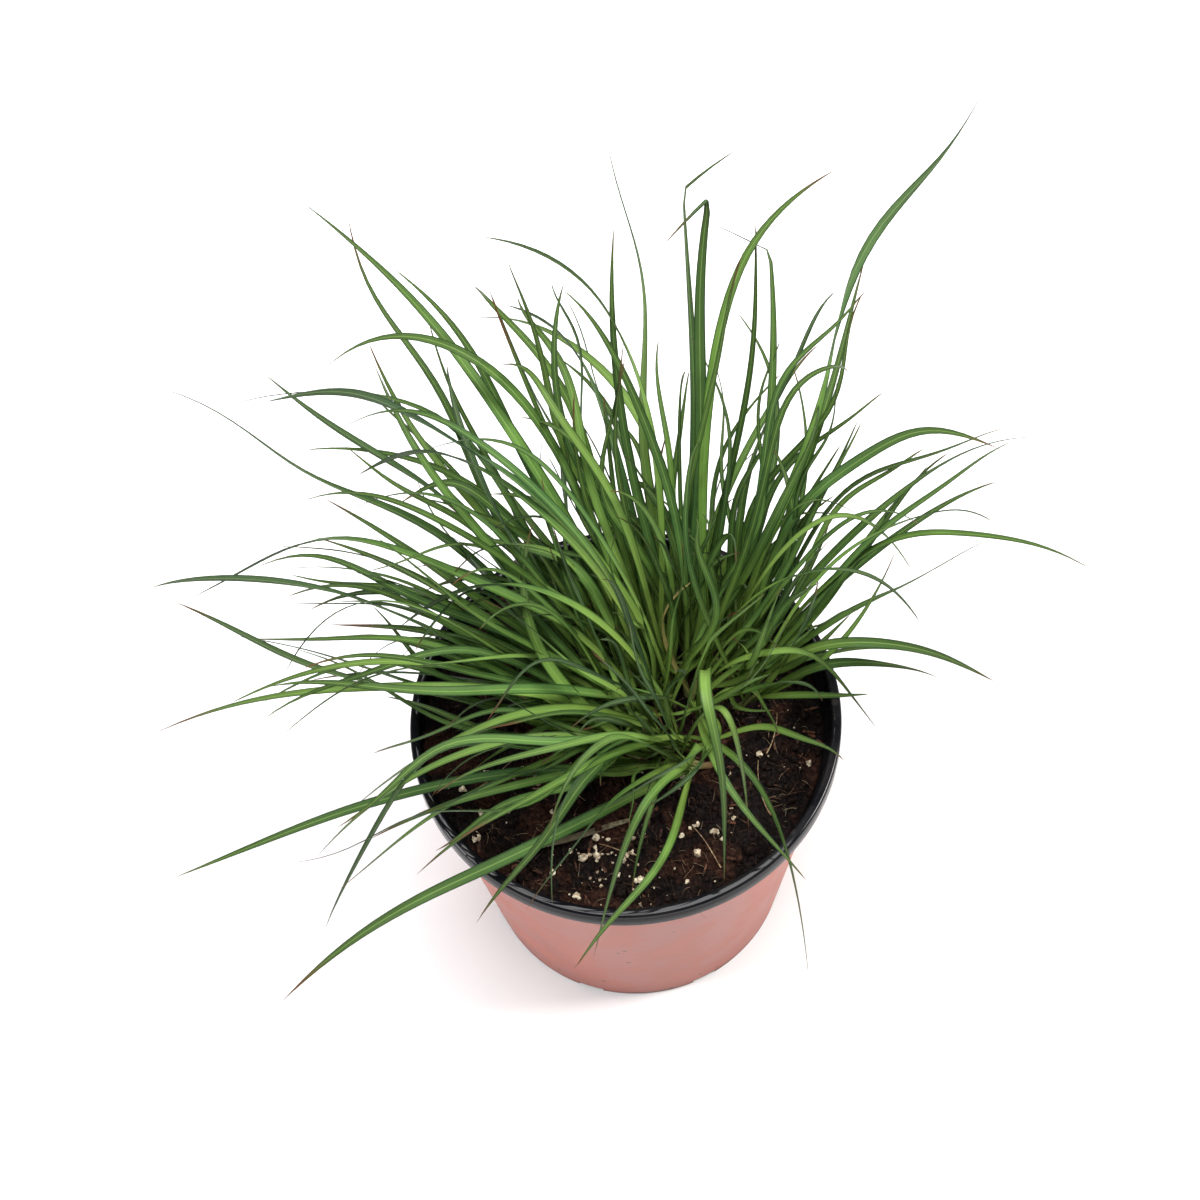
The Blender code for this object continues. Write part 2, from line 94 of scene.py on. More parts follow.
def feed(tree, socket, given):
    """Gives an input a value, or links another node's output to it."""
    if isinstance(given, bpy.types.NodeSocket):
        tree.links.new(given, socket)
    else:
        socket.default_value = given


def add_node(tree, kind, inputs=None, **properties):
    """A node with its properties set and its inputs fed, by name or by number."""
    node = tree.nodes.new(kind)
    for name, value in properties.items():
        setattr(node, name, value)
    for name, given in (inputs or {}).items():
        feed(tree, node.inputs[name], given)
    return node


def placed(tree, group, inputs):
    """A group placed in a material with its own values. Returns its outputs."""
    return add_node(tree, "ShaderNodeGroup", inputs, node_tree=group).outputs


def maths(tree, operation, first, second=0.0):
    return add_node(tree, "ShaderNodeMath", {0: first, 1: second}, operation=operation).outputs[0]


def ramp(tree, value, low, high, bottom=0.0, top=1.0):
    """A smooth step of a value: from the bottom where it is low to the top where it is high."""
    inputs = {"Value": value, "From Min": low, "From Max": high, "To Min": bottom, "To Max": top}
    return add_node(tree, "ShaderNodeMapRange", inputs, interpolation_type="SMOOTHSTEP").outputs[0]


def mixed(tree, factor, first, second):
    """The colour between two others."""
    return add_node(tree, "ShaderNodeMix", {0: factor, 6: first, 7: second}, data_type="RGBA").outputs[2]


def split(tree, vector):
    return add_node(tree, "ShaderNodeSeparateXYZ", {"Vector": vector}).outputs


def object_place(tree):
    return add_node(tree, "ShaderNodeTexCoord").outputs["Object"]


def fine_noise(tree, place, scale, detail=4.0):
    inputs = {"Vector": place, "Scale": scale, "Detail": detail}
    return add_node(tree, "ShaderNodeTexNoise", inputs).outputs[0]


def new_group(name, inputs, outputs):
    """A node group with named inputs and outputs, and its two end nodes."""
    group = bpy.data.node_groups.new(name, "ShaderNodeTree")
    for socket, kind in inputs.items():
        group.interface.new_socket(name=socket, in_out="INPUT", socket_type=kind)
    for socket in outputs:
        group.interface.new_socket(name=socket, in_out="OUTPUT", socket_type="NodeSocketFloat")
    given = group.nodes.new("NodeGroupInput").outputs
    return group, given, group.nodes.new("NodeGroupOutput").inputs


def mottle_group():
    """Soft uneven patches, as handling, dust and damp leave on a surface."""
    sockets = {"Place": "NodeSocketVector", "Scale": "NodeSocketFloat", "Sharpness": "NodeSocketFloat"}
    group, given, made = new_group("mottle", sockets, ["Patches"])
    clouds = fine_noise(group, given["Place"], given["Scale"], 5.0)
    half = maths(group, "MULTIPLY", given["Sharpness"], 0.2)
    low = maths(group, "ADD", half, 0.28)
    high = maths(group, "SUBTRACT", 0.72, half)
    feed(group, made["Patches"], ramp(group, clouds, low, high))
    return group


def speck_group():
    """Scattered round specks of uneven size. The share says how many of the places hold one."""
    sockets = {"Place": "NodeSocketVector", "Scale": "NodeSocketFloat", "Share": "NodeSocketFloat"}
    group, given, made = new_group("specks", sockets, ["Specks"])
    inputs = {"Vector": given["Place"], "Scale": given["Scale"]}
    cells = add_node(group, "ShaderNodeTexVoronoi", inputs)
    chance = split(group, cells.outputs["Color"])
    reach = maths(group, "MULTIPLY", chance[1], 0.25)
    beyond = maths(group, "SUBTRACT", cells.outputs["Distance"], reach)
    spot = ramp(group, beyond, 0.0, 0.06, 1.0, 0.0)
    present = maths(group, "LESS_THAN", chance[0], given["Share"])
    feed(group, made["Specks"], maths(group, "MULTIPLY", spot, present))
    return group


MOTTLE = mottle_group()
SPECKS = speck_group()


def mottled(tree, place, scale, sharpness):
    """Soft patches over a surface, from 0 to 1."""
    return placed(tree, MOTTLE, {"Place": place, "Scale": scale, "Sharpness": sharpness})[0]


def specked(tree, place, scale, share):
    """Specks over a surface, each 1 on a ground of 0."""
    return placed(tree, SPECKS, {"Place": place, "Scale": scale, "Share": share})[0]


def tinted(tree, colour, tint, mask, strength):
    """A colour that turns towards a tint where a mask is high."""
    return mixed(tree, maths(tree, "MULTIPLY", mask, strength), colour, tint)


def new_material(name):
    """A material, its node tree and its Principled shader."""
    material = bpy.data.materials.new(name)
    material.use_nodes = True
    return material, material.node_tree, material.node_tree.nodes["Principled BSDF"]


def finish_shader(tree, shader, colour, roughness, height, strength, depth, sheen=0.5):
    """Feeds a shader its colour, its roughness and a bump. The sheen says how strongly it mirrors."""
    shader.inputs["Specular IOR Level"].default_value = sheen
    feed(tree, shader.inputs["Base Color"], colour)
    feed(tree, shader.inputs["Roughness"], roughness)
    relief = add_node(tree, "ShaderNodeBump", {"Height": height, "Strength": strength, "Distance": depth})
    feed(tree, shader.inputs["Normal"], relief.outputs["Normal"])


def terracotta_material():
    """Satin terracotta plastic: faintly dusty, flecked with soil, and stained brown along its foot."""
    material, tree, shader = new_material("terracotta_plastic")
    place = object_place(tree)
    height = split(tree, place)[2]
    dust = mottled(tree, place, 38.0, 0.2)
    grain = fine_noise(tree, place, 2600.0, 2.0)
    flecks = specked(tree, place, 95.0, 0.08)
    crumbs = specked(tree, place, 240.0, 0.02)
    ragged = maths(tree, "MULTIPLY", fine_noise(tree, place, 42.0), 6.5 * MM)
    stain = ramp(tree, maths(tree, "SUBTRACT", height, ragged), -1.0 * MM, 0.5 * MM, 0.85, 0.0)
    colour = mixed(tree, dust, TERRACOTTA, TERRACOTTA_DUSTY)
    colour = tinted(tree, colour, TERRACOTTA_DUSTY, grain, 0.30)
    colour = mixed(tree, stain, colour, FOOT_STAIN)
    dirt = maths(tree, "MAXIMUM", flecks, crumbs)
    colour = tinted(tree, colour, SOIL, dirt, 0.85)
    roughness = ramp(tree, dust, 0.0, 1.0, 0.40, 0.52)
    relief = maths(tree, "ADD", maths(tree, "MULTIPLY", grain, 0.25), dirt)
    finish_shader(tree, shader, colour, roughness, relief, 0.5, 0.15 * MM, 0.35)
    return material


def black_plastic_material():
    """Glossy black plastic with a bluish cast, dulled in patches by dried splashes and grains of peat."""
    material, tree, shader = new_material("black_plastic")
    place = object_place(tree)
    haze = mottled(tree, place, 55.0, 0.5)
    grains = specked(tree, place, 260.0, 0.12)
    splashes = specked(tree, place, 120.0, 0.10)
    colour = tinted(tree, BLACK_PLASTIC, DRIED_SPLASH, haze, 0.05)
    colour = tinted(tree, colour, DRIED_SPLASH, splashes, 0.12)
    colour = tinted(tree, colour, SOIL, grains, 0.55)
    roughness = ramp(tree, haze, 0.0, 1.0, 0.09, 0.20)
    polish = ramp(tree, split(tree, place)[2], POT_HEIGHT - 2.2 * MM, POT_HEIGHT - 1.0 * MM, 0.0, 0.4)
    feed(tree, shader.inputs["Coat Weight"], polish)
    shader.inputs["Coat Roughness"].default_value = 0.05
    finish_shader(tree, shader, colour, roughness, grains, 0.4, 0.2 * MM, 0.025)
    return material


def arc(centre, radius, first, last, steps=5):
    """The points of an arc in an outline of (radius, height), between two angles in degrees."""
    turns = [math.radians(first + (last - first) * i / steps) for i in range(steps + 1)]
    return [(centre[0] + radius * math.cos(turn), centre[1] + radius * math.sin(turn)) for turn in turns]


def between(first, last, steps):
    """The points that divide a straight stretch of an outline, without its ends."""
    shares = [i / steps for i in range(1, steps)]
    return [tuple(a + (b - a) * share for a, b in zip(first, last)) for share in shares]


def pot_outline():
    """The shell's outline: over the rim, down the outside, under the base and up the inside."""
    top = POT_HEIGHT
    band = top - RIM_DEPTH
    neck = (NECK_RADIUS, SHOULDER - 1.8 * MM)
    foot = (BASE_RADIUS + 0.2 * MM, 1.2 * MM)
    inner_foot = (BASE_RADIUS - WALL - 0.4 * MM, WALL)
    inner_neck = (NECK_RADIUS - WALL, INNER_NECK)
    inner_shoulder = (LIP_RADIUS - WALL + 0.9 * MM, SHOULDER + 0.8 * MM)
    crest = [(LIP_RADIUS + 0.5 * RIM_WIDTH, top)]
    outside = arc((RIM_RADIUS - RIM_ROUND, top - RIM_ROUND), RIM_ROUND, 90, 0)
    under = arc((RIM_RADIUS - 0.7 * MM, band + 0.7 * MM), 0.7 * MM, 0, -90, 3)
    hollow = [(LIP_RADIUS + 1.2 * MM, band), (LIP_RADIUS + 0.9 * MM, SHOULDER)]
    wall = [neck] + between(neck, foot, 14) + [foot]
    base = arc((BASE_RADIUS - 0.8 * MM, 1.0 * MM), 1.0 * MM, 0, -90, 3) + [(0.5 * BASE_RADIUS, 0), (0, 0)]
    floor = [(0, WALL), (0.5 * BASE_RADIUS, WALL), inner_foot]
    inside = between(inner_foot, inner_neck, 8) + [inner_neck, inner_shoulder]
    lip = arc((LIP_RADIUS + 1.1 * MM, top - 1.3 * MM), 1.3 * MM, 180, 90)
    return crest + outside + under + hollow + wall + base + floor + inside + lip + crest


def mesh_of(shape, name):
    """A mesh made of a finished shape, which is let go."""
    mesh = bpy.data.meshes.new(name)
    shape.to_mesh(mesh)
    shape.free()
    return mesh


def turned_mesh(name, outline, steps):
    """A closed mesh turned about Z from an outline of (radius, height)."""
    shell = bmesh.new()
    ring = [shell.verts.new((radius, 0, height)) for radius, height in outline]
    edges = [shell.edges.new(pair) for pair in zip(ring, ring[1:])]
    bmesh.ops.spin(shell, geom=ring + edges, axis=(0, 0, 1), cent=(0, 0, 0), angle=math.tau, steps=steps)
    bmesh.ops.remove_doubles(shell, verts=shell.verts, dist=0.005 * MM)
    bmesh.ops.recalc_face_normals(shell, faces=shell.faces)
    return mesh_of(shell, name)


def new_object(name, data):
    """An object, put in the scene."""
    made = bpy.data.objects.new(name, data)
    bpy.context.scene.collection.objects.link(made)
    return made


def add_piece(name, mesh, materials):
    """Puts a finished mesh in the scene as a piece with its materials, riding on the one body."""
    piece = new_object(name, mesh)
    for material in materials:
        mesh.materials.append(material)
    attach(piece, "root")
    return piece


def cut_slots(piece):
    """Cuts the drainage slots through the corner between the wall and the base."""
    boxes = bmesh.new()
    for number in range(SLOTS):
        turn = Matrix.Rotation(math.tau * (number + 0.5) / SLOTS, 4, "Z")
        place = Matrix.Translation((BASE_RADIUS + 1 * MM, 0, SLOT_HEIGHT / 2 - 1 * MM))
        size = Matrix.Diagonal((10 * MM, SLOT_WIDTH, SLOT_HEIGHT + 2 * MM, 1))
        bmesh.ops.create_cube(boxes, size=1, matrix=turn @ place @ size)
    cutters = new_object("slot_cutters", mesh_of(boxes, "slot_cutters"))
    cut = piece.modifiers.new("Slots", "BOOLEAN")
    cut.object = cutters
    graph = bpy.context.evaluated_depsgraph_get()
    finished = bpy.data.meshes.new_from_object(piece.evaluated_get(graph))
    piece.modifiers.clear()
    piece.data = finished
    bpy.data.objects.remove(cutters)


pot_mesh = turned_mesh("pot_shell", pot_outline(), POT_STEPS)
plastics = [terracotta_material(), black_plastic_material()]
pot = add_piece("pot_shell", pot_mesh, plastics)
cut_slots(pot)
for face in pot.data.polygons:
    middle = Vector(face.center)
    outward = face.normal.xy.dot(middle.xy.normalized()) if middle.xy.length > 1 * MM else 0.0
    on_rim = middle.z > POT_HEIGHT - RIM_DEPTH + 0.3 * MM
    inside = middle.z > 0.9 * WALL and outward < -0.2 or abs(middle.z - WALL) < 0.01 * MM
    face.material_index = 1 if on_rim or inside else 0
pot.data.shade_smooth()
pot.data.set_sharp_from_angle(angle=math.radians(50))
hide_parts("pot")

# ---- The compost bed -------------------------------------------------------------------------------
# Moist peat that fills the pot and packs against its inner wall, a little lower on the right. Its top
# is loose and lumpy, nearly black with reddish-brown patches.

COMPOST_TOP = 141 * MM
COMPOST_SLOPE = (-0.035, 0.015)
COMPOST_LUMPS = ((2.6 * MM, 27 * MM), (1.7 * MM, 9.5 * MM), (1.0 * MM, 3.7 * MM))
BED_RINGS = 76
BED_SECTORS = 216
WET_PEAT = (0.0016, 0.0009, 0.0009, 1)
RED_PEAT = (0.0145, 0.0050, 0.0034, 1)
DRY_PEAT = (0.050, 0.022, 0.0135, 1)
CROWN_CENTRE = (27 * MM, 10 * MM)
CROWN_HEAP = 1.6 * MM
CROWN_REACH = 34 * MM
EDGE_AT = 88 * MM
WALL_GAP = 0.3 * MM
NECK_GAP = 0.7 * MM


def compost_height(x, y):
    """The level of the compost before its lumps."""
    return COMPOST_TOP + COMPOST_SLOPE[0] * x + COMPOST_SLOPE[1] * y


def bed_height(x, y):
    """The compost's surface, with lumps and hollows, and heaped slightly around the crown."""
    place = Vector((x, y, 0))
    uneven = sum(size * noise.noise(place / spread) for size, spread in COMPOST_LUMPS)
    crown = CROWN_HEAP * math.exp(-((place.xy - Vector(CROWN_CENTRE)).length / CROWN_REACH) ** 2)
    return compost_height(x, y) + uneven + crown


def inner_radius(height):
    """The radius of the pot's inside at a height near the compost's top."""
    if height > INNER_NECK:
        return NECK_RADIUS - WALL + 0.9 * (height - INNER_NECK)
    slope = (LIP_RADIUS - BASE_RADIUS - 0.6 * MM) / (INNER_NECK - WALL)
    return NECK_RADIUS - WALL - slope * (INNER_NECK - height)


def bed_mesh():
    """A lumpy disc, edge to edge in the pot, with a side that follows the wall and a flat bottom."""
    bed = bmesh.new()
    turns = [math.tau * i / BED_SECTORS for i in range(BED_SECTORS)]
    ways = [Vector((math.cos(turn), math.sin(turn))) for turn in turns]
    levels = [bed_height(*(EDGE_AT * out)) for out in ways]
    rings = []
    for number in range(1, BED_RINGS + 1):
        ring = []
        for out, level in zip(ways, levels):
            place = out * (inner_radius(level) - WALL_GAP) * number / BED_RINGS
            height = level if number == BED_RINGS else bed_height(*place)
            ring.append(bed.verts.new((*place, height)))
        rings.append(ring)
    below = [min(level, INNER_NECK) - 1.0 * MM for level in levels]
    places = [out * (inner_radius(height) - NECK_GAP) for out, height in zip(ways, below)]
    rings.append([bed.verts.new((*place, height)) for place, height in zip(places, below)])
    foot = BASE_RADIUS - WALL - 1.0 * MM
    for share in (0.25, 0.0):
        radius = foot + share * (LIP_RADIUS - WALL - 1.8 * MM - foot)
        height = WALL + 0.4 * MM + share * (COMPOST_TOP - WALL)
        rings.append([bed.verts.new((radius * math.cos(t), radius * math.sin(t), height)) for t in turns])
    for inner, outer in zip(rings, rings[1:]):
        for i in range(BED_SECTORS):
            j = (i + 1) % BED_SECTORS
            bed.faces.new((inner[i], outer[i], outer[j], inner[j]))
    middle = bed.verts.new((0, 0, bed_height(0, 0)))
    for i in range(BED_SECTORS):
        bed.faces.new((middle, rings[0][i], rings[0][(i + 1) % BED_SECTORS]))
    bed.faces.new(reversed(rings[-1]))
    bmesh.ops.recalc_face_normals(bed, faces=bed.faces)
    mesh = mesh_of(bed, "compost_bed")
    mesh.shade_smooth()
    return mesh


def peat_material(name, dark, red, dry):
    """Peat: wet and nearly black, with redder and drier patches and a crumbly, fibrous face."""
    material, tree, shader = new_material(name)
    place = object_place(tree)
    damp = mottled(tree, place, 42.0, 0.6)
    crumbs = mottled(tree, place, 520.0, 0.8)
    long_place = add_node(tree, "ShaderNodeMapping", {"Vector": place, "Scale": (1.0, 0.22, 1.0)}).outputs[0]
    fibres = mottled(tree, long_place, 900.0, 1.2)
    colour = mixed(tree, ramp(tree, damp, 0.35, 1.0), dark, red)
    dry_crumbs = maths(tree, "MULTIPLY", crumbs, ramp(tree, damp, 0.35, 1.0, 0.03, 0.5))
    colour = mixed(tree, dry_crumbs, colour, dry)
    colour = tinted(tree, colour, dry, fibres, 0.12)
    roughness = ramp(tree, damp, 0.0, 1.0, 0.62, 0.92)
    relief = maths(tree, "ADD", crumbs, maths(tree, "MULTIPLY", fibres, 0.5))
    finish_shader(tree, shader, colour, roughness, relief, 0.9, 0.5 * MM, 0.10)
    return material


bed_peat = peat_material("peat_compost", WET_PEAT, RED_PEAT, DRY_PEAT)
bed = add_piece("compost_bed", bed_mesh(), [bed_peat])
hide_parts("compost")

# ---- Crumbs and perlite ----------------------------------------------------------------------------
# Loose crumbs of peat lie all over the bed, and among them grains of perlite, a white volcanic glass
# popped like corn, which lie thickest at the front. Each kind is one joined mesh of closed lumps.

SMALL_CRUMBS = 3600
LARGE_CRUMBS = 420
GRAINS = 150
CRUMB_SIZES = (0.7 * MM, 2.4 * MM)
CLOD_SIZES = (2.2 * MM, 5.2 * MM)
GRAIN_SIZES = (0.7 * MM, 4.0 * MM)
STRETCHES = (0.65, 1.2)
LITTER_REACH = 86 * MM
GRAIN_REACH = 84 * MM
GROUPED_SHARE = 0.45
THINNING_BEHIND = 0.6

# The middles of the little groups of perlite, in millimetres from the middle of the pot.
PERLITE_GROUPS = ((-25, -57), (-17, -67), (0, -78), (-12, -60), (-82, -22), (-49, -21), (28, -52), (-2, -72))
PERLITE = (0.66, 0.58, 0.42, 1)
PERLITE_STAINED = (0.26, 0.17, 0.10, 1)
CRUMB_WET = (0.0026, 0.0015, 0.0013, 1)
CRUMB_RED = (0.020, 0.0072, 0.0045, 1)
CRUMB_DRY = (0.082, 0.038, 0.023, 1)


def anywhere(chance):
    """A place on the bed, evenly spread."""
    radius = LITTER_REACH * math.sqrt(chance.random())
    turn = chance.uniform(0, math.tau)
    return radius * math.cos(turn), radius * math.sin(turn)


def mostly_in_front(chance):
    """A place on the bed, thickest at the front and in little groups."""
    while True:
        if chance.random() < GROUPED_SHARE:
            group = chance.choice(PERLITE_GROUPS)
            x = chance.gauss(group[0], 7) * MM
            y = chance.gauss(group[1], 5) * MM
        else:
            x, y = anywhere(chance)
            if y > 0 and chance.random() < THINNING_BEHIND:
                continue
        if math.hypot(x, y) < GRAIN_REACH:
            return x, y


def rounded_lump(detail):
    """The points and faces of a ball, to be made uneven."""
    ball = bmesh.new()
    bmesh.ops.create_icosphere(ball, subdivisions=detail, radius=1)
    points = [vertex.co.copy() for vertex in ball.verts]
    faces = [tuple(vertex.index for vertex in face.verts) for face in ball.faces]
    ball.free()
    return points, faces


def lump_mesh(name, count, detail, sizes, roughness, sunk, place, chance):
    """Uneven lumps, each turned and stretched its own way and sunk a share of its size in the bed."""
    ball, ball_faces = rounded_lump(detail)
    points, faces = [], []
    for _ in range(count):
        x, y = place(chance)
        size = sizes[0] + (sizes[1] - sizes[0]) * chance.random() ** 2
        stretch = Vector([chance.uniform(*STRETCHES) for _ in range(3)])
        turn = Matrix.Rotation(chance.uniform(0, math.tau), 3, Vector([chance.gauss(0, 1) for _ in range(3)]))
        middle = Vector((x, y, bed_height(x, y) + size * (0.5 - sunk)))
        first = len(points)
        kind = Vector((9 * chance.random(), 9 * chance.random(), 9 * chance.random()))
        for corner in ball:
            swell = 1 + 1.4 * roughness * noise.noise(1.4 * corner + kind)
            point = corner * stretch * (swell + 0.5 * chance.uniform(-roughness, roughness))
            points.append(middle + turn @ point * size * 0.5)
        faces += [tuple(first + i for i in face) for face in ball_faces]
    mesh = bpy.data.meshes.new(name)
    mesh.from_pydata(points, [], faces)
    return mesh


def perlite_material():
    """Perlite: cream, pitted and chalky, with peat in its pits."""
    material, tree, shader = new_material("perlite")
    place = object_place(tree)
    stain = mottled(tree, place, 420.0, 0.7)
    pits = specked(tree, place, 2200.0, 0.5)
    colour = tinted(tree, PERLITE, PERLITE_STAINED, stain, 0.8)
    colour = tinted(tree, colour, PERLITE_STAINED, pits, 0.5)
    finish_shader(tree, shader, colour, 0.85, pits, 0.6, -0.2 * MM)
    return material


chance = random.Random(3)
crumb_peat = peat_material("crumb_peat", CRUMB_WET, CRUMB_RED, CRUMB_DRY)
crumbs = lump_mesh("peat_crumbs", SMALL_CRUMBS, 1, CRUMB_SIZES, 0.3, 0.25, anywhere, chance)
add_piece("peat_crumbs", crumbs, [crumb_peat])
clods = lump_mesh("peat_clods", LARGE_CRUMBS, 2, CLOD_SIZES, 0.22, 0.35, anywhere, chance)
clods.shade_smooth()
add_piece("peat_clods", clods, [crumb_peat])
grains = lump_mesh("perlite_grains", GRAINS, 2, GRAIN_SIZES, 0.42, 0.3, mostly_in_front, chance)
grains.shade_smooth()
grains.set_sharp_from_angle(angle=math.radians(32))
add_piece("perlite_grains", grains, [perlite_material()])

# ---- Fibres, bark and litter -----------------------------------------------------------------------
# Fine root fibres and slivers of bark in the peat, and what has fallen on it from the grass: bleached
# shreds, dry straws and one withered leaf. They lie loose, each kind one joined mesh.

FIBRES = 420
SLIVERS = 150
SHREDS = 170

# The straws, each by its middle, its length and its bearing, and the withered leaf by its two ends and
# its bend, in millimetres and degrees.
STRAWS = (
    (-60, -18, 30, 34),
    (30, -60, 22, 118),
    (58, -34, 26, 96),
    (-32, -30, 24, -20),
    (64, -8, 20, 70),
    (-8, -58, 18, 160),
)
WITHERED_LEAF = ((-57, -57), (-30, -52), (-2, -45))
LEAF_CLEARANCE = 3.2 * MM
LEAF_STEPS = 26
STRAW_STEPS = 11
STRAW_RADIUS = 0.34 * MM

# The lengths, radii and widths of the small litter, in millimetres, and the steps along a fibre.
FIBRE_LENGTHS = (4, 16)
FIBRE_RADII = (0.07, 0.16)
SHRED_LENGTHS = (2, 8)
SHRED_RADII = (0.08, 0.16)
SLIVER_LENGTHS = (2.5, 8)
SLIVER_WIDTHS = (0.6, 1.9)
FIBRE_STEPS = 7

FIBRE_BROWN = (0.150, 0.082, 0.046, 1)
FIBRE_DARK = (0.020, 0.011, 0.008, 1)
BARK = (0.115, 0.044, 0.022, 1)
STRAW = (0.36, 0.29, 0.16, 1)
PALE_SHRED = (0.22, 0.21, 0.13, 1)
WITHERED = (0.16, 0.145, 0.085, 1)
WITHERED_DARK = (0.075, 0.060, 0.036, 1)


def faces_between(first, count):
    """The faces between a ring of corners and the next one, given the ring's first corner."""
    around = [(first + i, first + (i + 1) % count) for i in range(count)]
    return [(here, beside, beside + count, here + count) for here, beside in around]


def tube(points, radii, sides=4):
    """The points and faces of a closed tube along a path."""
    corners, faces = [], []
    for number, point in enumerate(points):
        before, after = points[max(0, number - 1)], points[min(len(points) - 1, number + 1)]
        along = (after - before).normalized()
        across = along.orthogonal().normalized()
        for side in range(sides):
            arm = across.copy()
            arm.rotate(Matrix.Rotation(math.tau * side / sides, 3, along))
            corners.append(point + arm * radii[number])
    for ring in range(len(points) - 1):
        faces += faces_between(ring * sides, sides)
    faces.append(tuple(reversed(range(sides))))
    faces.append(tuple(range(len(corners) - sides, len(corners))))
    return corners, faces


def join(name, shapes):
    """One mesh of several shapes, each given as its points and faces."""
    points, faces = [], []
    for corners, own_faces in shapes:
        first = len(points)
        points += corners
        faces += [tuple(first + i for i in face) for face in own_faces]
    mesh = bpy.data.meshes.new(name)
    mesh.from_pydata(points, [], faces)
    mesh.shade_smooth()
    return mesh


def fibre(chance):
    """A fine curled fibre, part sunk in the peat."""
    x, y = anywhere(chance)
    turn = chance.uniform(0, math.tau)
    length = chance.uniform(*FIBRE_LENGTHS) * MM
    curl = chance.gauss(0, 1.5)
    lift = chance.uniform(0, 1.6) * MM
    points = []
    for i in range(FIBRE_STEPS + 1):
        share = i / FIBRE_STEPS
        x += math.cos(turn) * length / FIBRE_STEPS
        y += math.sin(turn) * length / FIBRE_STEPS
        turn += curl / FIBRE_STEPS + chance.gauss(0, 0.12)
        points.append(Vector((x, y, bed_height(x, y) + 0.2 * MM + lift * math.sin(math.pi * share))))
    radius = chance.uniform(*FIBRE_RADII) * MM
    return tube(points, [radius * (1.1 - 0.7 * i / FIBRE_STEPS) for i in range(FIBRE_STEPS + 1)])


def pale_fibre(chance):
    """A thin bleached shred of dead leaf, on the right and at the front of the bed."""
    while True:
        x, y = anywhere(chance)
        if x > 8 * MM or y < -40 * MM:
            break
    turn = chance.uniform(0, math.tau)
    length = chance.uniform(*SHRED_LENGTHS) * MM
    curl = chance.gauss(0, 0.6)
    points = []
    for i in range(FIBRE_STEPS + 1):
        x += math.cos(turn) * length / FIBRE_STEPS
        y += math.sin(turn) * length / FIBRE_STEPS
        turn += curl / FIBRE_STEPS
        lift = 0.5 * MM + 1.3 * MM * math.sin(math.pi * i / FIBRE_STEPS)
        points.append(Vector((x, y, bed_height(x, y) + lift)))
    radius = chance.uniform(*SHRED_RADII) * MM
    return tube(points, [radius * (1.1 - 0.6 * i / FIBRE_STEPS) for i in range(FIBRE_STEPS + 1)])


def sliver(chance):
    """A flat sliver of bark, lying at its own slant."""
    x, y = anywhere(chance)
    length = chance.uniform(*SLIVER_LENGTHS) * MM
    width = chance.uniform(*SLIVER_WIDTHS) * MM
    turn = Matrix.Rotation(chance.uniform(0, math.tau), 3, "Z")
    turn = turn @ Matrix.Rotation(chance.gauss(0, 0.35), 3, "Y")
    middle = Vector((x, y, bed_height(x, y) + 0.7 * MM))
    points = []
    for share in (-0.5, -0.2, 0.15, 0.5):
        narrow = 1 - 1.1 * abs(share) + chance.uniform(-0.15, 0.15)
        for side, top in ((-1, -1), (1, -1), (1, 1), (-1, 1)):
            corner = Vector((share * length, side * width * narrow / 2, top * 0.3 * MM))
            points.append(middle + turn @ corner)
    faces = [(3, 2, 1, 0), (12, 13, 14, 15)]
    for first in (0, 4, 8):
        faces += faces_between(first, 4)
    return points, faces


def straw(row, chance):
    """A dry straw that lies over the lumps of the bed, given by its middle, length and bearing."""
    x, y, length, bearing = row
    out = Vector((math.cos(math.radians(bearing)), math.sin(math.radians(bearing)), 0))
    bow = chance.uniform(-0.12, 0.12) * length * MM
    points = []
    for i in range(STRAW_STEPS + 1):
        share = i / STRAW_STEPS - 0.5
        place = Vector((x, y, 0)) * MM + out * share * length * MM
        place += Vector((-out.y, out.x, 0)) * bow * (0.25 - share * share) * 4
        place.z = compost_height(place.x, place.y) + 2.6 * MM + 1.2 * MM * math.sin(5 * share)
        points.append(place)
    return tube(points, [STRAW_RADIUS * (1 - 0.05 * i) for i in range(STRAW_STEPS + 1)], 6)


def withered_leaf():
    """A withered leaf, folded along its midrib, that lies over the lumps of the bed."""
    places = [(x * MM, y * MM) for x, y in WITHERED_LEAF]
    first, middle, last = (Vector((*place, compost_height(*place) + LEAF_CLEARANCE)) for place in places)
    corners, faces = [], []
    for i in range(LEAF_STEPS + 1):
        t = i / LEAF_STEPS
        point = first * (1 - t) ** 2 + middle * 2 * t * (1 - t) + last * t * t
        along = ((middle - first) * (1 - t) + (last - middle) * t).normalized()
        across = Vector((-along.y, along.x, 0)).normalized()
        half = 1.55 * MM * (1 - 0.85 * (1 - t) ** 4) * (1 - 0.5 * t ** 5)
        sag = 0.5 * MM * math.sin(9 * t)
        for side, low in ((-1, 0.5), (0, -0.3), (1, 0.5), (1, 0.3), (0, -0.5), (-1, 0.3)):
            corners.append(point + across * half * side + Vector((0, 0, low * MM + sag)))
    for i in range(LEAF_STEPS):
        faces += faces_between(6 * i, 6)
    faces.append((5, 4, 3, 2, 1, 0))
    faces.append(tuple(6 * LEAF_STEPS + k for k in range(6)))
    return corners, faces


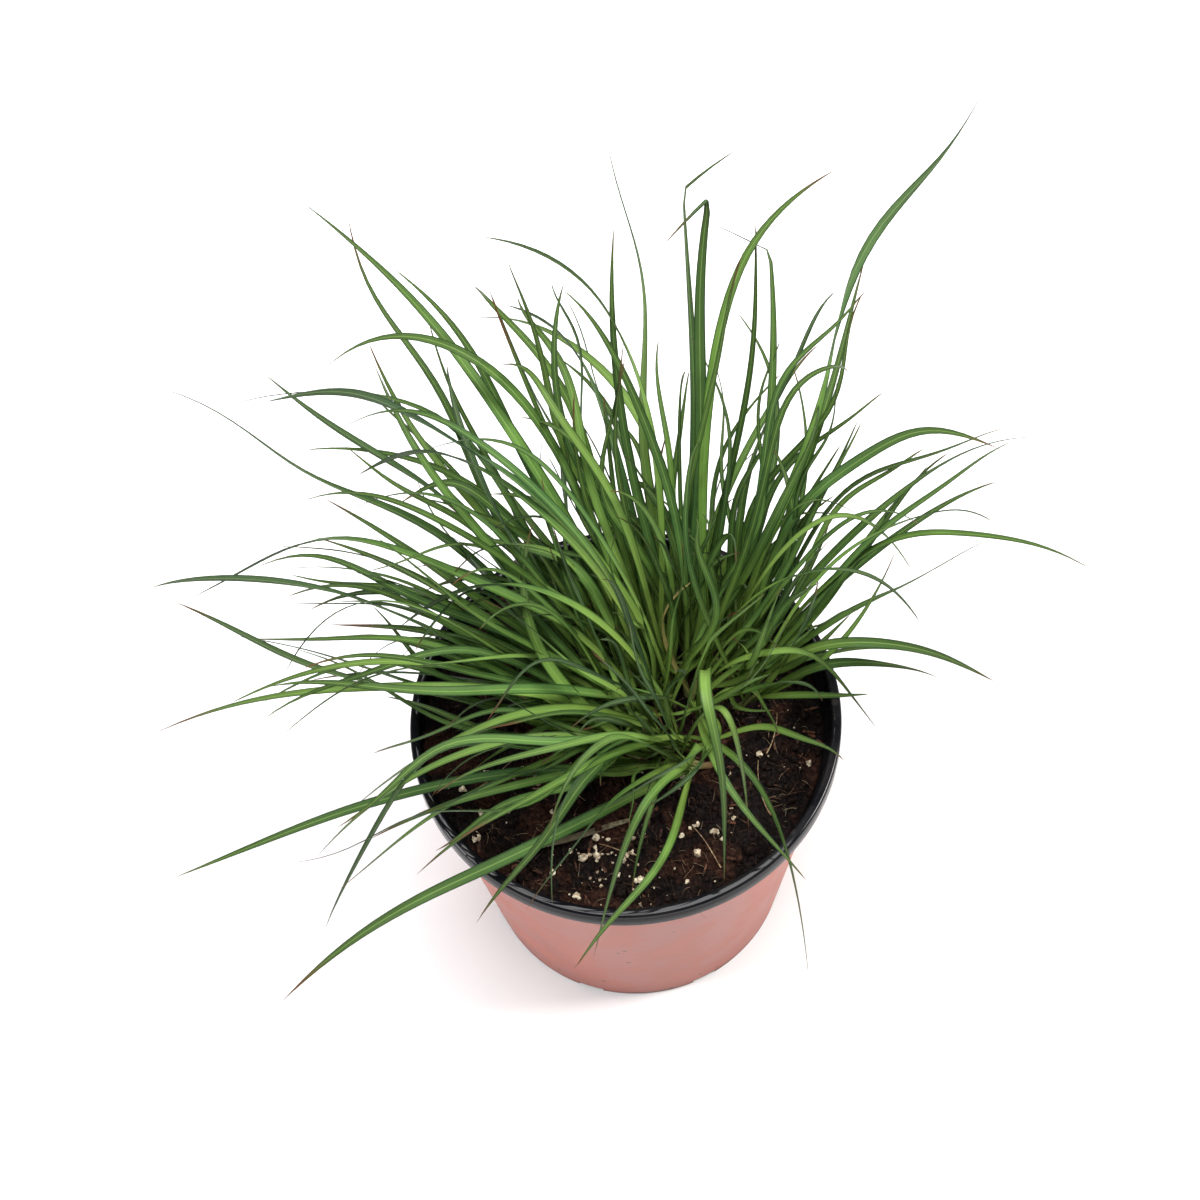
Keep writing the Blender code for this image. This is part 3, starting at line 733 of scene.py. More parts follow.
def litter_material(name, light, dark, roughness):
    """Dead plant matter: two browns in streaks and patches."""
    material, tree, shader = new_material(name)
    place = object_place(tree)
    streaks = mottled(tree, place, 700.0, 0.5)
    broad = mottled(tree, place, 90.0, 0.6)
    colour = mixed(tree, streaks, light, dark)
    colour = tinted(tree, colour, dark, broad, 0.7)
    finish_shader(tree, shader, colour, roughness, streaks, 0.5, 0.1 * MM, 0.2)
    return material


chance = random.Random(8)
fibre_brown = litter_material("root_fibre", FIBRE_BROWN, FIBRE_DARK, 0.8)
fibres = join("peat_fibres", [fibre(chance) for _ in range(FIBRES)])
add_piece("peat_fibres", fibres, [fibre_brown])
bark = litter_material("bark", BARK, FIBRE_DARK, 0.85)
slivers = join("bark_slivers", [sliver(chance) for _ in range(SLIVERS)])
slivers.shade_flat()
add_piece("bark_slivers", slivers, [bark])
pale_shred = litter_material("pale_shred", PALE_SHRED, FIBRE_BROWN, 0.7)
shreds = join("leaf_shreds", [pale_fibre(chance) for _ in range(SHREDS)])
add_piece("leaf_shreds", shreds, [pale_shred])
dry_straw = litter_material("dry_straw", STRAW, FIBRE_BROWN, 0.6)
add_piece("straws", join("straws", [straw(row, chance) for row in STRAWS]), [dry_straw])
withered = litter_material("withered_leaf", WITHERED, WITHERED_DARK, 0.7)
add_piece("withered_leaf", join("withered_leaf", [withered_leaf()]), [withered])

# ---- The shoots of grass ---------------------------------------------------------------------------
# Each shoot is one grown piece: a short rolled sheath rooted in the compost, with a few long leaves
# that arch over. A leaf is a thin channelled blade with a midrib, which tapers to a fine, dry tip. The
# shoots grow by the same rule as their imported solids, so each leaf lies in its own solid's place, and
# then more leaves fill them, which have no solids.

GAP = 0.3 * MM
CROWN_HALF_WIDTH = 31 * MM
CROWN_HALF_DEPTH = 30 * MM
SHOOT_SPACING = 6.6 * MM
SHOOTS = 57
SHEATH_RADIUS = 1.7 * MM
SHEATH_LENGTH = 17 * MM
SHEATH_SIDES = 5
FIRST_START = 0.3
START_STEP = 0.15
KEEL = 0.2 * MM
KEEL_SHARE = 0.09
GENTLE_BEND = 24 * MM
STRONG_BEND = 60 * MM
FOLD_AT = 0.86

# The long leaves, clockwise around the clump from its left side: the tip's bearing from the middle of
# the crown, its reach and rise, the arch, the sweep, the turn of a folded tip, where the arch peaks,
# the width and the twist, in millimetres and degrees.
LONG_LEAVES = (
    (182, 232, 40, 58, 0, 0, 0.40, 4.0, 60),
    (178, 131, 36, 8, 0, 0, 0.50, 3.6, 0),
    (177, 164, 36, 24, 0, 0, 0.55, 3.2, 40),
    (176, 145, 32, 56, 0, 0, 0.70, 2.4, 0),
    (176, 176, 34, 84, 0, 0, 0.62, 2.2, 0),
    (174, 126, 36, 46, 0, 0, 0.65, 2.6, 0),
    (180, 184, 36, 40, 0, 0, 0.60, 2.2, 0),
    (172, 190, 50, 48, 0, 0, 0.50, 2.8, 30),
    (172, 201, 46, 27, 0, 0, 0.60, 3.2, 90),
    (170, 154, 60, 22, 0, 0, 0.50, 5.4, 0),
    (168, 238, 52, 66, 0, 0, 0.58, 4.2, 70),
    (168, 218, 60, 94, 0, 0, 0.42, 4.8, 40),
    (169, 223, 62, 8, 10, 0, 0.50, 4.3, 170),
    (168, 137, 60, 2, 10, 0, 0.50, 3.2, 0),
    (167, 174, 60, 44, 0, 0, 0.55, 2.8, 0),
    (166, 150, 64, 30, 0, 0, 0.50, 3.0, 0),
    (166, 172, 72, 34, 0, 0, 0.50, 3.0, 0),
    (173, 122, 62, 88, 0, 0, 0.42, 4.6, 20),
    (162, 178, 84, 30, 0, 0, 0.55, 3.4, 30),
    (160, 160, 88, 15, 0, 0, 0.50, 3.2, 0),
    (159, 148, 100, 76, 0, 0, 0.45, 2.4, 0),
    (159, 165, 110, 70, 0, 0, 0.45, 2.8, 0),
    (158, 158, 110, 6, 0, 0, 0.50, 4.6, 0),
    (153, 148, 110, 112, 0, 0, 0.36, 4.2, 20),
    (155, 115, 140, 88, 0, 0, 0.42, 2.4, 0),
    (153, 150, 130, 12, 0, 0, 0.50, 3.0, 0),
    (152, 147, 150, 104, 0, 0, 0.40, 3.2, 40),
    (151, 192, 130, 112, 0, 0, 0.36, 4.3, 190),
    (150, 195, 140, 26, 0, 0, 0.55, 3.8, 160),
    (150, 247, 120, 14, 0, 0, 0.55, 4.8, 30),
    (131, 218, 175, 66, 0, 0, 0.40, 4.8, 30),
    (130, 155, 190, 22, 0, 0, 0.50, 3.6, 0),
    (129, 207, 165, 10, 16, 0, 0.50, 3.8, 20),
    (129, 151, 150, -14, 10, 0, 0.50, 2.8, 0),
    (126, 111, 150, 68, 0, 0, 0.50, 3.2, 20),
    (123, 130, 170, 8, 0, 0, 0.50, 2.4, 0),
    (118, 135, 180, 8, 0, 0, 0.50, 3.6, 20),
    (116, 143, 190, 56, -28, 0, 0.45, 3.8, 40),
    (109, 109, 180, 34, -14, 0, 0.50, 3.4, 0),
    (104, 76, 170, 6, 8, 0, 0.50, 2.8, 0),
    (98, 118, 200, 12, 12, 0, 0.50, 3.4, 0),
    (94, 150, 215, 24, 0, 0, 0.50, 4.4, 20),
    (83, 128, 205, 14, 0, -45, 0.50, 3.8, 60),
    (79, 116, 216, 10, 0, 140, 0.50, 4.6, 20),
    (66, 118, 186, 20, -8, 72, 0.50, 3.6, 40),
    (73, 98, 210, 10, 0, 0, 0.50, 2.4, 0),
    (68, 126, 200, 14, 0, 0, 0.50, 2.6, 0),
    (61, 156, 200, 56, 24, 0, 0.45, 3.8, 30),
    (58, 98, 160, 12, 0, 0, 0.50, 2.4, 0),
    (51, 130, 170, 54, 0, 0, 0.45, 2.8, 30),
    (50, 222, 200, 70, 0, 0, 0.40, 4.2, 300),
    (48, 102, 140, 14, -12, 0, 0.50, 2.4, 0),
    (42, 112, 130, 88, 0, 0, 0.58, 2.6, 40),
    (40, 106, 120, 14, 0, 0, 0.50, 2.4, 0),
    (27, 120, 112, 36, 0, 0, 0.50, 2.4, 0),
    (22, 126, 120, 6, 0, 0, 0.50, 2.4, 30),
    (21, 168, 110, 52, 0, 0, 0.45, 3.0, 60),
    (16, 108, 92, 56, 0, 0, 0.50, 2.2, 0),
    (12, 104, 64, 84, 0, 0, 0.50, 2.2, 0),
    (11, 138, 70, 16, 0, 0, 0.50, 2.6, 40),
    (11, 138, 90, 72, 0, 0, 0.48, 2.4, 0),
    (358, 97, 40, 8, 0, 0, 0.50, 2.4, 0),
    (1, 103, 52, 78, 0, 0, 0.50, 2.4, 0),
    (350, 135, 36, 52, 0, 0, 0.42, 4.0, 20),
    (338, 87, 22, 56, 0, 0, 0.50, 2.8, 0),
    (294, 106, 18, 34, -16, 0, 0.50, 3.0, 30),
    (290, 126, -46, 66, 10, 0, 0.50, 2.8, 60),
    (287, 76, 22, 78, 0, 0, 0.50, 2.8, 0),
    (276, 96, 22, 96, 0, 0, 0.45, 4.6, 20),
    (250, 96, 8, 24, 0, 0, 0.50, 2.2, 0),
    (243, 121, -16, 74, 0, 0, 0.60, 4.2, 60),
    (227, 142, 18, 52, 0, 0, 0.42, 4.6, 20),
    (214, 222, 16, 16, 0, 0, 0.50, 5.0, 20),
    (205, 186, -26, 76, 0, 0, 0.60, 4.0, 150),
    (200, 178, 10, 58, 0, 0, 0.50, 3.8, 0),
    (199, 159, 12, 60, 0, 0, 0.45, 4.6, 20),
    (211, 144, 18, 22, 0, 0, 0.50, 3.6, 0),
    (196, 236, 24, 14, 0, 0, 0.50, 4.2, 30),
    (189, 141, 20, 44, 0, 0, 0.50, 2.2, 0),
)

# A kind of generated leaf: the range of its lengths and widths, how far its bearing strays from its
# shoot's, the range of its slopes, its arch and sweep as shares of its length, where its arch peaks, and
# its twists, in metres and degrees. A small leaf has no range of slopes: its slope is drawn about its
# shoot's.
Kind = namedtuple("Kind", "lengths widths stray slopes arches sweep peaks twists")
SMALL = Kind(
    (70 * MM, 200 * MM), (2.2 * MM, 4.0 * MM),
    stray=28, slopes=None, arches=(0.0, 0.25), sweep=0.1, peaks=(0.4, 0.6), twists=(0, 0, 30, 90),
)
FILLING = Kind(
    (100 * MM, 215 * MM), (2.9 * MM, 4.7 * MM),
    stray=20, slopes=(22, 58), arches=(0.10, 0.36), sweep=0.22, peaks=(0.42, 0.62), twists=(0, 40, 90),
)
FINE = Kind(
    (45 * MM, 150 * MM), (1.5 * MM, 3.0 * MM),
    stray=70, slopes=(35, 82), arches=(0.05, 0.32), sweep=0.15, peaks=(0.4, 0.65), twists=(0, 40, 90, 160),
)

# How many leaves of each kind grow, what their draws start from, and where they are thinned out.
SEED = 11
SMALL_LEAVES = 80
SLOPE_CHANGE = (-14, 12)
FLATTEST_SMALL = math.radians(24)
STEEPEST_SMALL = math.radians(80)
FILLING_SEED = 41
FILLING_LEAVES = 46
FINE_SEED = 29
FINE_LEAVES = 140
MOST_FINE = 8
DRAWS_APART = 1000
RIGHT_THINNING = 0.7
HOOK_ROOM = 6 * MM
MOST_LEAVES = 4
FRONT_THINNING = 0.6
TRIES = 150
LEAN_TRIES = 12
LEAN_STEP = math.radians(4)
EVENNESS = 0.5
EVENING_ROUNDS = 150
FLATTEST = math.radians(42)
STEEPEST = math.radians(86)


class Leaf:
    """One leaf: a long blade that rises from its sheath, arches over and narrows to a fine tip."""

    def __init__(self, tip, arch, sweep, fold, peak, width, twist):
        self.tip = tip
        self.arch = arch
        self.sweep = sweep
        self.fold = fold
        self.peak = peak
        self.width = width
        self.twist = twist

    def moved(self, lift, swing, shift):
        """A copy whose arch, sweep and tip differ a little."""
        tip = self.tip + self.side(Vector((*CROWN_CENTRE, 0))) * shift
        return Leaf(tip, self.arch + lift, self.sweep + swing, self.fold, self.peak, self.width, self.twist)

    def out(self, foot):
        """The level direction in which the leaf leads away from its foot."""
        return Vector((self.tip.x - foot.x, self.tip.y - foot.y, 0)).normalized()

    def side(self, foot):
        out = self.out(foot)
        return Vector((-out.y, out.x, 0))

    def steepness(self, foot):
        """The angle above the horizontal at which the leaf sets out."""
        level = math.hypot(self.tip.x - foot.x, self.tip.y - foot.y)
        return math.atan2(self.tip.z - foot.z + 3 * self.arch, level)

    def stations(self):
        """Straight leaves need few sections, arched, twisted and folded ones more."""
        bend = abs(self.arch) + abs(self.sweep)
        return 5 + (bend > GENTLE_BEND) + (bend > STRONG_BEND) + (self.twist > 1) + 2 * (self.fold != 0)

    def point(self, foot, start, t):
        """The midrib at the fraction t of the leaf's length. It sets out from the start on the sheath."""
        along = min(1, t / FOLD_AT) if self.fold else t
        bow = along ** (math.log(0.5) / math.log(self.peak))
        point = foot.lerp(self.tip, along)
        point += self.side(foot) * self.sweep * 4 * along * (1 - along)
        point.z += self.arch * 4 * bow * (1 - bow)
        point += (start - foot) * (1 - along) ** 2
        if self.fold and t > FOLD_AT:
            turned = self.out(foot)
            turned.rotate(Matrix.Rotation(self.fold, 3, "Z"))
            point += turned * (self.tip - foot).length * (t - FOLD_AT)
        return point

    def half_width(self, t):
        """Narrow where it leaves the sheath, widest a third of the way up, and fine at the tip."""
        opening = 0.5 + 0.5 * min(1, t / 0.25)
        closing = 1 - max(0, (t - 0.3) / 0.7) ** 2.6
        return self.width / 2 * opening * closing

    def section(self, foot, start, t, swell):
        """The three corners of the channelled section: two edges and the keel."""
        step = 0.01
        here = self.point(foot, start, t)
        along = self.point(foot, start, min(1, t + step)) - self.point(foot, start, max(0, t - step))
        along.normalize()
        side = self.side(foot)
        across = (side - along * side.dot(along)).normalized()
        across.rotate(Matrix.Rotation(self.twist * t * t * (3 - 2 * t), 3, along))
        facing = across.cross(along)
        half = self.half_width(t) + swell
        keel = KEEL + KEEL_SHARE * self.width * (1 - t) + swell
        return (
            here + across * half + facing * keel,
            here - across * half + facing * keel,
            here - facing * keel,
        )


def tip_point(centre, bearing, reach, rise):
    """A tip placed by its bearing and reach from a centre and its rise above the compost."""
    turn = math.radians(bearing)
    x = centre[0] + reach * math.cos(turn)
    y = centre[1] + reach * math.sin(turn)
    return Vector((x, y, COMPOST_TOP + rise))


def long_leaf(bearing, reach, rise, arch, sweep, fold, peak, width, twist):
    """A leaf from a row of the table of long leaves."""
    tip = tip_point(CROWN_CENTRE, bearing, reach * MM, rise * MM)
    return Leaf(tip, arch * MM, sweep * MM, math.radians(fold), peak, width * MM, math.radians(twist))


def tree_of(shape):
    """The surface of a triangulated shape, for tests of what touches it. The shape is let go."""
    shape.verts.index_update()
    corners = [vertex.co.copy() for vertex in shape.verts]
    triangles = [tuple(vertex.index for vertex in face.verts) for face in shape.faces]
    shape.free()
    return BVHTree.FromPolygons(corners, triangles)


def solid_tree(node):
    """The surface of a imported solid."""
    shape = bmesh.new()
    shape.from_mesh(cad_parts[node].data)
    bmesh.ops.triangulate(shape, faces=shape.faces)
    return tree_of(shape)


def leaf_tree(leaf, foot, start, swell=0.0):
    """The surface of a leaf's plain blade: a loft through its sections, which narrow to a point."""
    blade = bmesh.new()
    rings = []
    last = leaf.stations() - 1
    for number in range(last):
        corners = leaf.section(foot, start, number / last, swell)
        rings.append([blade.verts.new(corner) for corner in corners])
    tip = blade.verts.new(leaf.point(foot, start, 1))
    blade.faces.new(rings[0])
    for lower, upper in zip(rings, rings[1:]):
        for i in range(3):
            j = (i + 1) % 3
            blade.faces.new((lower[i], upper[i], upper[j], lower[j]))
    for i in range(3):
        blade.faces.new((rings[-1][i], tip, rings[-1][(i + 1) % 3]))
    bmesh.ops.triangulate(blade, faces=blade.faces)
    return tree_of(blade)


def sheath_tree(foot, axis, swell=0.0):
    """The surface of a plain sheath, which stands on the compost and leans the way of its leaves."""
    sheath = bmesh.new()
    base = SHEATH_RADIUS + swell
    depth = SHEATH_LENGTH + 2 * swell
    sides = {"segments": SHEATH_SIDES, "cap_ends": True}
    bmesh.ops.create_cone(sheath, radius1=base, radius2=0.7 * base, depth=depth, **sides)
    lean = Vector((0, 0, 1)).rotation_difference(axis).to_matrix().to_4x4()
    lift = Matrix.Translation((0, 0, SHEATH_LENGTH / 2))
    bmesh.ops.transform(sheath, matrix=Matrix.Translation(foot) @ lean @ lift, verts=sheath.verts)
    bmesh.ops.triangulate(sheath, faces=sheath.faces)
    return tree_of(sheath)


def touches(tree, others):
    return any(tree.overlap(other) for other in others)


class Shoot:
    """One shoot of the clump: its foot, which way it leans, its leaves, those of them that have grown,
    and the surfaces of its sheath and its grown leaves."""

    def __init__(self, leaf):
        self.leaves = [leaf]
        self.foot = Vector((*CROWN_CENTRE, COMPOST_TOP))
        self.axis = Vector((0, 0, 1))
        self.trees = []
        self.grown = []

    def bearing(self, foot):
        """The bearing of the leading leaf, from 0 to a whole turn, seen from a foot."""
        out = self.leaves[0].out(foot)
        return math.atan2(out.y, out.x) % math.tau

    def lean(self, steepness):
        """Stands the sheath on the compost, leaning the way its first leaf leads."""
        out = self.leaves[0].out(self.foot)
        self.axis = out * math.cos(steepness) + Vector((0, 0, math.sin(steepness)))
        lift = GAP + SHEATH_RADIUS * math.cos(steepness)
        self.foot.z = compost_height(self.foot.x, self.foot.y) + lift

    def start(self, number):
        """Where a leaf leaves the sheath's axis: the later the leaf, the higher."""
        return self.foot + self.axis * SHEATH_LENGTH * (FIRST_START + START_STEP * (number % MOST_LEAVES))


def place_feet(shoots):
    """Sets the feet out over the crown, the steepest shoots in its middle, and evens out their spacing."""
    centre = Vector((*CROWN_CENTRE, COMPOST_TOP))
    ranked = sorted(shoots, key=lambda shoot: -shoot.leaves[0].steepness(centre))
    around = sorted(shoots, key=lambda shoot: shoot.bearing(centre))
    for rank, shoot in enumerate(ranked):
        radius = math.sqrt((rank + 0.5) / len(ranked))
        even_angle = math.tau * around.index(shoot) / len(around)
        angle = EVENNESS * even_angle + (1 - EVENNESS) * shoot.bearing(centre)
        shoot.foot.x += CROWN_HALF_WIDTH * radius * math.cos(angle)
        shoot.foot.y += CROWN_HALF_DEPTH * radius * math.sin(angle)
    for _ in range(EVENING_ROUNDS):
        for i, one in enumerate(shoots):
            for other in shoots[:i]:
                apart = one.foot - other.foot
                short = SHOOT_SPACING - apart.length
                if short > 0:
                    push = apart.normalized() * short * 0.5
                    one.foot += push
                    other.foot -= push


def share_out(leaves):
    """Gives each shoot a leading leaf, and the leaves left over to the shoots that lead most like them."""
    ordered = sorted(leaves, key=lambda leaf: -leaf.width * leaf.tip.length)
    shoots = [Shoot(leaf) for leaf in ordered[:SHOOTS]]
    for leaf in ordered[SHOOTS:]:
        single = [shoot for shoot in shoots if len(shoot.leaves) == 1]
        nearest = min(single, key=lambda shoot: (shoot.leaves[0].tip - leaf.tip).length)
        nearest.leaves.append(leaf)
    return shoots


def drawn_leaf(kind, shoot, chance):
    """A generated leaf that leads roughly the way of its shoot."""
    lead = shoot.leaves[0]
    out = lead.out(shoot.foot)
    length = chance.uniform(*kind.lengths)
    bearing = math.degrees(math.atan2(out.y, out.x)) + chance.gauss(0, kind.stray)
    if kind.slopes:
        slope = math.radians(chance.uniform(*kind.slopes))
    else:
        slope = lead.steepness(shoot.foot) + math.radians(chance.gauss(*SLOPE_CHANGE))
        slope = min(STEEPEST_SMALL, max(FLATTEST_SMALL, slope))
    return Leaf(
        tip_point(shoot.foot, bearing, length * math.cos(slope), length * math.sin(slope)),
        arch=length * chance.uniform(*kind.arches),
        sweep=length * chance.uniform(-kind.sweep, kind.sweep),
        fold=0,
        peak=chance.uniform(*kind.peaks),
        width=chance.uniform(*kind.widths),
        twist=math.radians(chance.choice(kind.twists)),
    )


def nudges():
    """Small changes of arch, sweep and tip, the gentlest first."""
    steps = (0, 3, -3, 6, -6, 10, -10, 15, -15)
    shifts = (0, 4, -4, 8, -8)
    every = [(lift, swing, shift) for lift in steps for swing in steps for shift in shifts]
    every.sort(key=lambda nudge: sum(abs(part) for part in nudge))
    return [Vector(nudge) * MM for nudge in every[:TRIES]]


NUDGES = nudges()


def grow(shoot, leaf, number, obstacles):
    """Adds a leaf to its shoot, bent slightly aside where it would run through something else."""
    start = shoot.start(number)
    for nudge in NUDGES:
        bent = leaf.moved(*nudge)
        if not touches(leaf_tree(bent, shoot.foot, start, swell=GAP), obstacles):
            shoot.trees.append(leaf_tree(bent, shoot.foot, start))
            shoot.grown.append((bent, number))
            return True
    return False


def plant_sheaths(shoots, ground):
    """Stands each sheath, leaning less where it would run into another."""
    for shoot in shoots:
        others = trees_beside(shoot, shoots)
        steepness = min(STEEPEST, max(FLATTEST, shoot.leaves[0].steepness(shoot.foot)))
        for _ in range(LEAN_TRIES):
            shoot.lean(steepness)
            if not touches(sheath_tree(shoot.foot, shoot.axis, swell=GAP / 2), others + ground):
                break
            steepness = min(STEEPEST, steepness + LEAN_STEP)
        shoot.trees.append(sheath_tree(shoot.foot, shoot.axis))


def trees_beside(shoot, shoots):
    return [tree for other in shoots if other is not shoot for tree in other.trees]


def grow_leaves(shoots, ground):
    """Grows the long leaves first, the leading before the second, and then the generated ones."""
    for rank in range(2):
        for shoot in shoots:
            if rank < len(shoot.leaves):
                grow(shoot, shoot.leaves[rank], rank, trees_beside(shoot, shoots) + ground)
    chance = random.Random(SEED)
    grown = 0
    while grown < SMALL_LEAVES:
        shoot = shoots[chance.randrange(len(shoots))]
        leads_back = shoot.leaves[0].tip.y > CROWN_CENTRE[1]
        if len(shoot.trees) > MOST_LEAVES or (not leads_back and chance.random() < FRONT_THINNING):
            continue
        leaf = drawn_leaf(SMALL, shoot, chance)
        grown += grow(shoot, leaf, len(shoot.trees) - 1, trees_beside(shoot, shoots) + ground)


def inside_the_solids(tip):
    """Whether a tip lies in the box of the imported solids, with room at the front and back for a hook."""
    level = solid_low[0] < tip.x < solid_high[0]
    return level and solid_low[1] + HOOK_ROOM < tip.y < solid_high[1] - HOOK_ROOM


def grow_more(kind, seed, count, right_thinning, shoots, ground):
    """Fills the clump with more leaves, each from its own draw."""
    grown = 0
    attempt = 0
    while grown < count:
        attempt += 1
        chance = random.Random(seed * DRAWS_APART + attempt)
        shoot = shoots[chance.randrange(len(shoots))]
        leads_right = shoot.leaves[0].tip.x > CROWN_CENTRE[0]
        if len(shoot.trees) > MOST_FINE or (leads_right and chance.random() < right_thinning):
            continue
        leaf = drawn_leaf(kind, shoot, chance)
        if inside_the_solids(leaf.tip):
            grown += grow(shoot, leaf, len(shoot.trees) - 1, trees_beside(shoot, shoots) + ground)


def grown_shoots(ground):
    """All the shoots, placed, planted and grown, clockwise around the clump from the left."""
    shoots = share_out([long_leaf(*row) for row in LONG_LEAVES])
    place_feet(shoots)
    plant_sheaths(shoots, ground)
    grow_leaves(shoots, ground)
    grow_more(FILLING, FILLING_SEED, FILLING_LEAVES, RIGHT_THINNING, shoots, ground)
    grow_more(FINE, FINE_SEED, FINE_LEAVES, 0.0, shoots, ground)
    shoots.sort(key=lambda shoot: -math.remainder(math.atan2(shoot.axis.y, shoot.axis.x) - math.pi, math.tau))
    return shoots


# The blade of a finished leaf: its stations along, its points across, its thickness, how its channel
# flattens from its foot, and its small natural bends, hooks and twists as shares of its length.
STATIONS = 30
ACROSS = (-1.0, -0.55, -0.13, 0.0, 0.13, 0.55, 1.0)
THICKNESS = 0.30 * MM
MIDRIB = 0.16 * MM
FULLNESS = 1.15
FINE_TIP = 0.52 * MM
CHANNEL = 0.26
CHANNEL_AT_FOOT = 0.55
WAVES = (0.6, 1.6)
WANDER = 0.020
HOOK = 0.026
LARGEST_HOOK = 0.03
HOOK_FROM = 0.6
DROOP = 0.012
EXTRA_TWIST = 0.8
STRAW_SHARE = 0.03
LONGEST_STRAW_LEAF = 110 * MM
DRYNESS = (0.25, 0.3)
MOST_USUAL_DRYNESS = 0.85
ROOTED = 5 * MM
RING_SIDES = 12
SHEATH_RINGS = 9

# The order of a shoot's materials.
UPPER_SIDE, UNDERSIDE, SHEATH = range(3)


class Skin:
    """The points and faces gathered for one shoot, with each point's place on its leaf and the leaf's
    own character: how fresh, how dry and how blue it is."""

    def __init__(self):
        self.points = []
        self.faces = []
        self.finishes = []
        self.places = []
        self.characters = []

    def add_ring(self, corners, across, along, length, character):
        self.points += corners
        self.places += [(a, along, length) for a in across]
        self.characters += [character] * len(corners)

    def join_rings(self, first, count, finishes):
        """Faces between a ring and the next one, each with its finish."""
        for i in range(count):
            j = (i + 1) % count
            self.faces.append((first + i, first + count + i, first + count + j, first + j))
            self.finishes.append(finishes[i])

    def to_mesh(self, name):
        mesh = bpy.data.meshes.new(name)
        mesh.from_pydata(self.points, [], self.faces)
        mesh.polygons.foreach_set("material_index", self.finishes)
        for layer, values in (("leaf_place", self.places), ("leaf_character", self.characters)):
            attribute = mesh.attributes.new(layer, "FLOAT_VECTOR", "POINT")
            attribute.data.foreach_set("vector", [part for value in values for part in value])
        mesh.shade_smooth()
        mesh.set_sharp_from_angle(angle=math.radians(60))
        return mesh


def add_blade(skin, leaf, foot, start, chance):
    """One leaf: a thin closed blade, channelled along its midrib, with the small bends of a real one."""
    length = (leaf.tip - foot).length
    bends = []
    for _ in range(2):
        bends.append((chance.uniform(*WAVES), chance.uniform(0, math.tau), chance.gauss(0, WANDER)))
    yellowed = chance.random() < STRAW_SHARE and length < LONGEST_STRAW_LEAF
    dryness = 1.0 if yellowed else max(0.0, chance.gauss(*DRYNESS)) * MOST_USUAL_DRYNESS
    character = (chance.random(), min(dryness, 1.0), chance.random())
    side = leaf.side(foot)
    hook = max(-LARGEST_HOOK, min(LARGEST_HOOK, chance.gauss(0, HOOK))) * length
    droop = abs(chance.gauss(0, DROOP)) * length
    twist = leaf.twist + chance.gauss(0, EXTRA_TWIST)

    def midrib(t):
        ease = 4 * t * (1 - t)
        sway = [size * length * math.sin(math.tau * waves * t + phase) * ease for waves, phase, size in bends]
        outer = max(0.0, (t - HOOK_FROM) / (1 - HOOK_FROM)) ** 2
        aside = side * (sway[0] + hook * outer)
        return leaf.point(foot, start, t) + aside + Vector((0, 0, sway[1] - droop * outer))

    ring_across = ACROSS + ACROSS[::-1]
    count = len(ring_across)
    finishes = [UPPER_SIDE] * (len(ACROSS) - 1) + [UNDERSIDE] * (len(ACROSS) + 1)
    for number in range(STATIONS):
        t = number / STATIONS
        along = (midrib(min(1, t + 0.01)) - midrib(max(0, t - 0.01))).normalized()
        across = (side - along * side.dot(along)).normalized()
        across.rotate(Matrix.Rotation(twist * t * t * (3 - 2 * t), 3, along))
        facing = across.cross(along)
        half = max(FULLNESS * leaf.half_width(t), FINE_TIP * math.sqrt(min(1.0, (1 - t) / 0.1)))
        depth = half * (CHANNEL + CHANNEL_AT_FOOT * (1 - t) ** 4)
        middle = midrib(t)
        corners = []
        for order, a in enumerate(ring_across):
            on_top = order < len(ACROSS)
            thick = THICKNESS * (0.5 - 0.3 * abs(a)) * min(1.0, 0.35 + half / (1.2 * MM))
            rib = 0.0 if on_top else MIDRIB * (1 - t) * max(0.0, 1 - abs(a) / 0.13)
            lift = depth * (0.5 - abs(a) ** 1.35) + (-thick if on_top else thick + rib)
            corners.append(middle + across * half * a + facing * lift)
        first = len(skin.points)
        skin.add_ring(corners, ring_across, t, length, character)
        if number:
            skin.join_rings(first - count, count, finishes)
        else:
            skin.faces.append(tuple(range(first, first + count)))
            skin.finishes.append(UNDERSIDE)
    tip = len(skin.points)
    skin.add_ring([midrib(1)], [0.0], 1.0, length, character)
    for i in range(count):
        skin.faces.append((tip - count + i, tip, tip - count + (i + 1) % count))
        skin.finishes.append(finishes[i])


def add_sheath(skin, shoot, chance):
    """The rolled sheath, from below the compost to where the last leaf leaves it."""
    character = (chance.random(), chance.random(), chance.random())
    across = shoot.axis.orthogonal().normalized()
    around = [number / RING_SIDES for number in range(RING_SIDES)]
    for ring in range(SHEATH_RINGS + 1):
        share = ring / SHEATH_RINGS
        middle = shoot.foot + shoot.axis * (share * (SHEATH_LENGTH * 1.12 + ROOTED) - ROOTED)
        radius = SHEATH_RADIUS * (1.0 - 0.42 * share) * (0.25 if ring == SHEATH_RINGS else 1)
        corners = []
        for place in around:
            arm = across.copy()
            arm.rotate(Matrix.Rotation(math.tau * place, 3, shoot.axis))
            corners.append(middle + arm * radius * (1 + 0.07 * math.cos(3 * math.tau * place)))
        first = len(skin.points)
        skin.add_ring(corners, around, share, SHEATH_LENGTH, character)
        if ring:
            skin.join_rings(first - RING_SIDES, RING_SIDES, [SHEATH] * RING_SIDES)
    skin.faces.append(tuple(range(len(skin.points) - RING_SIDES, len(skin.points))))
    skin.faces.append(tuple(reversed(range(RING_SIDES))))
    skin.finishes += [SHEATH, SHEATH]


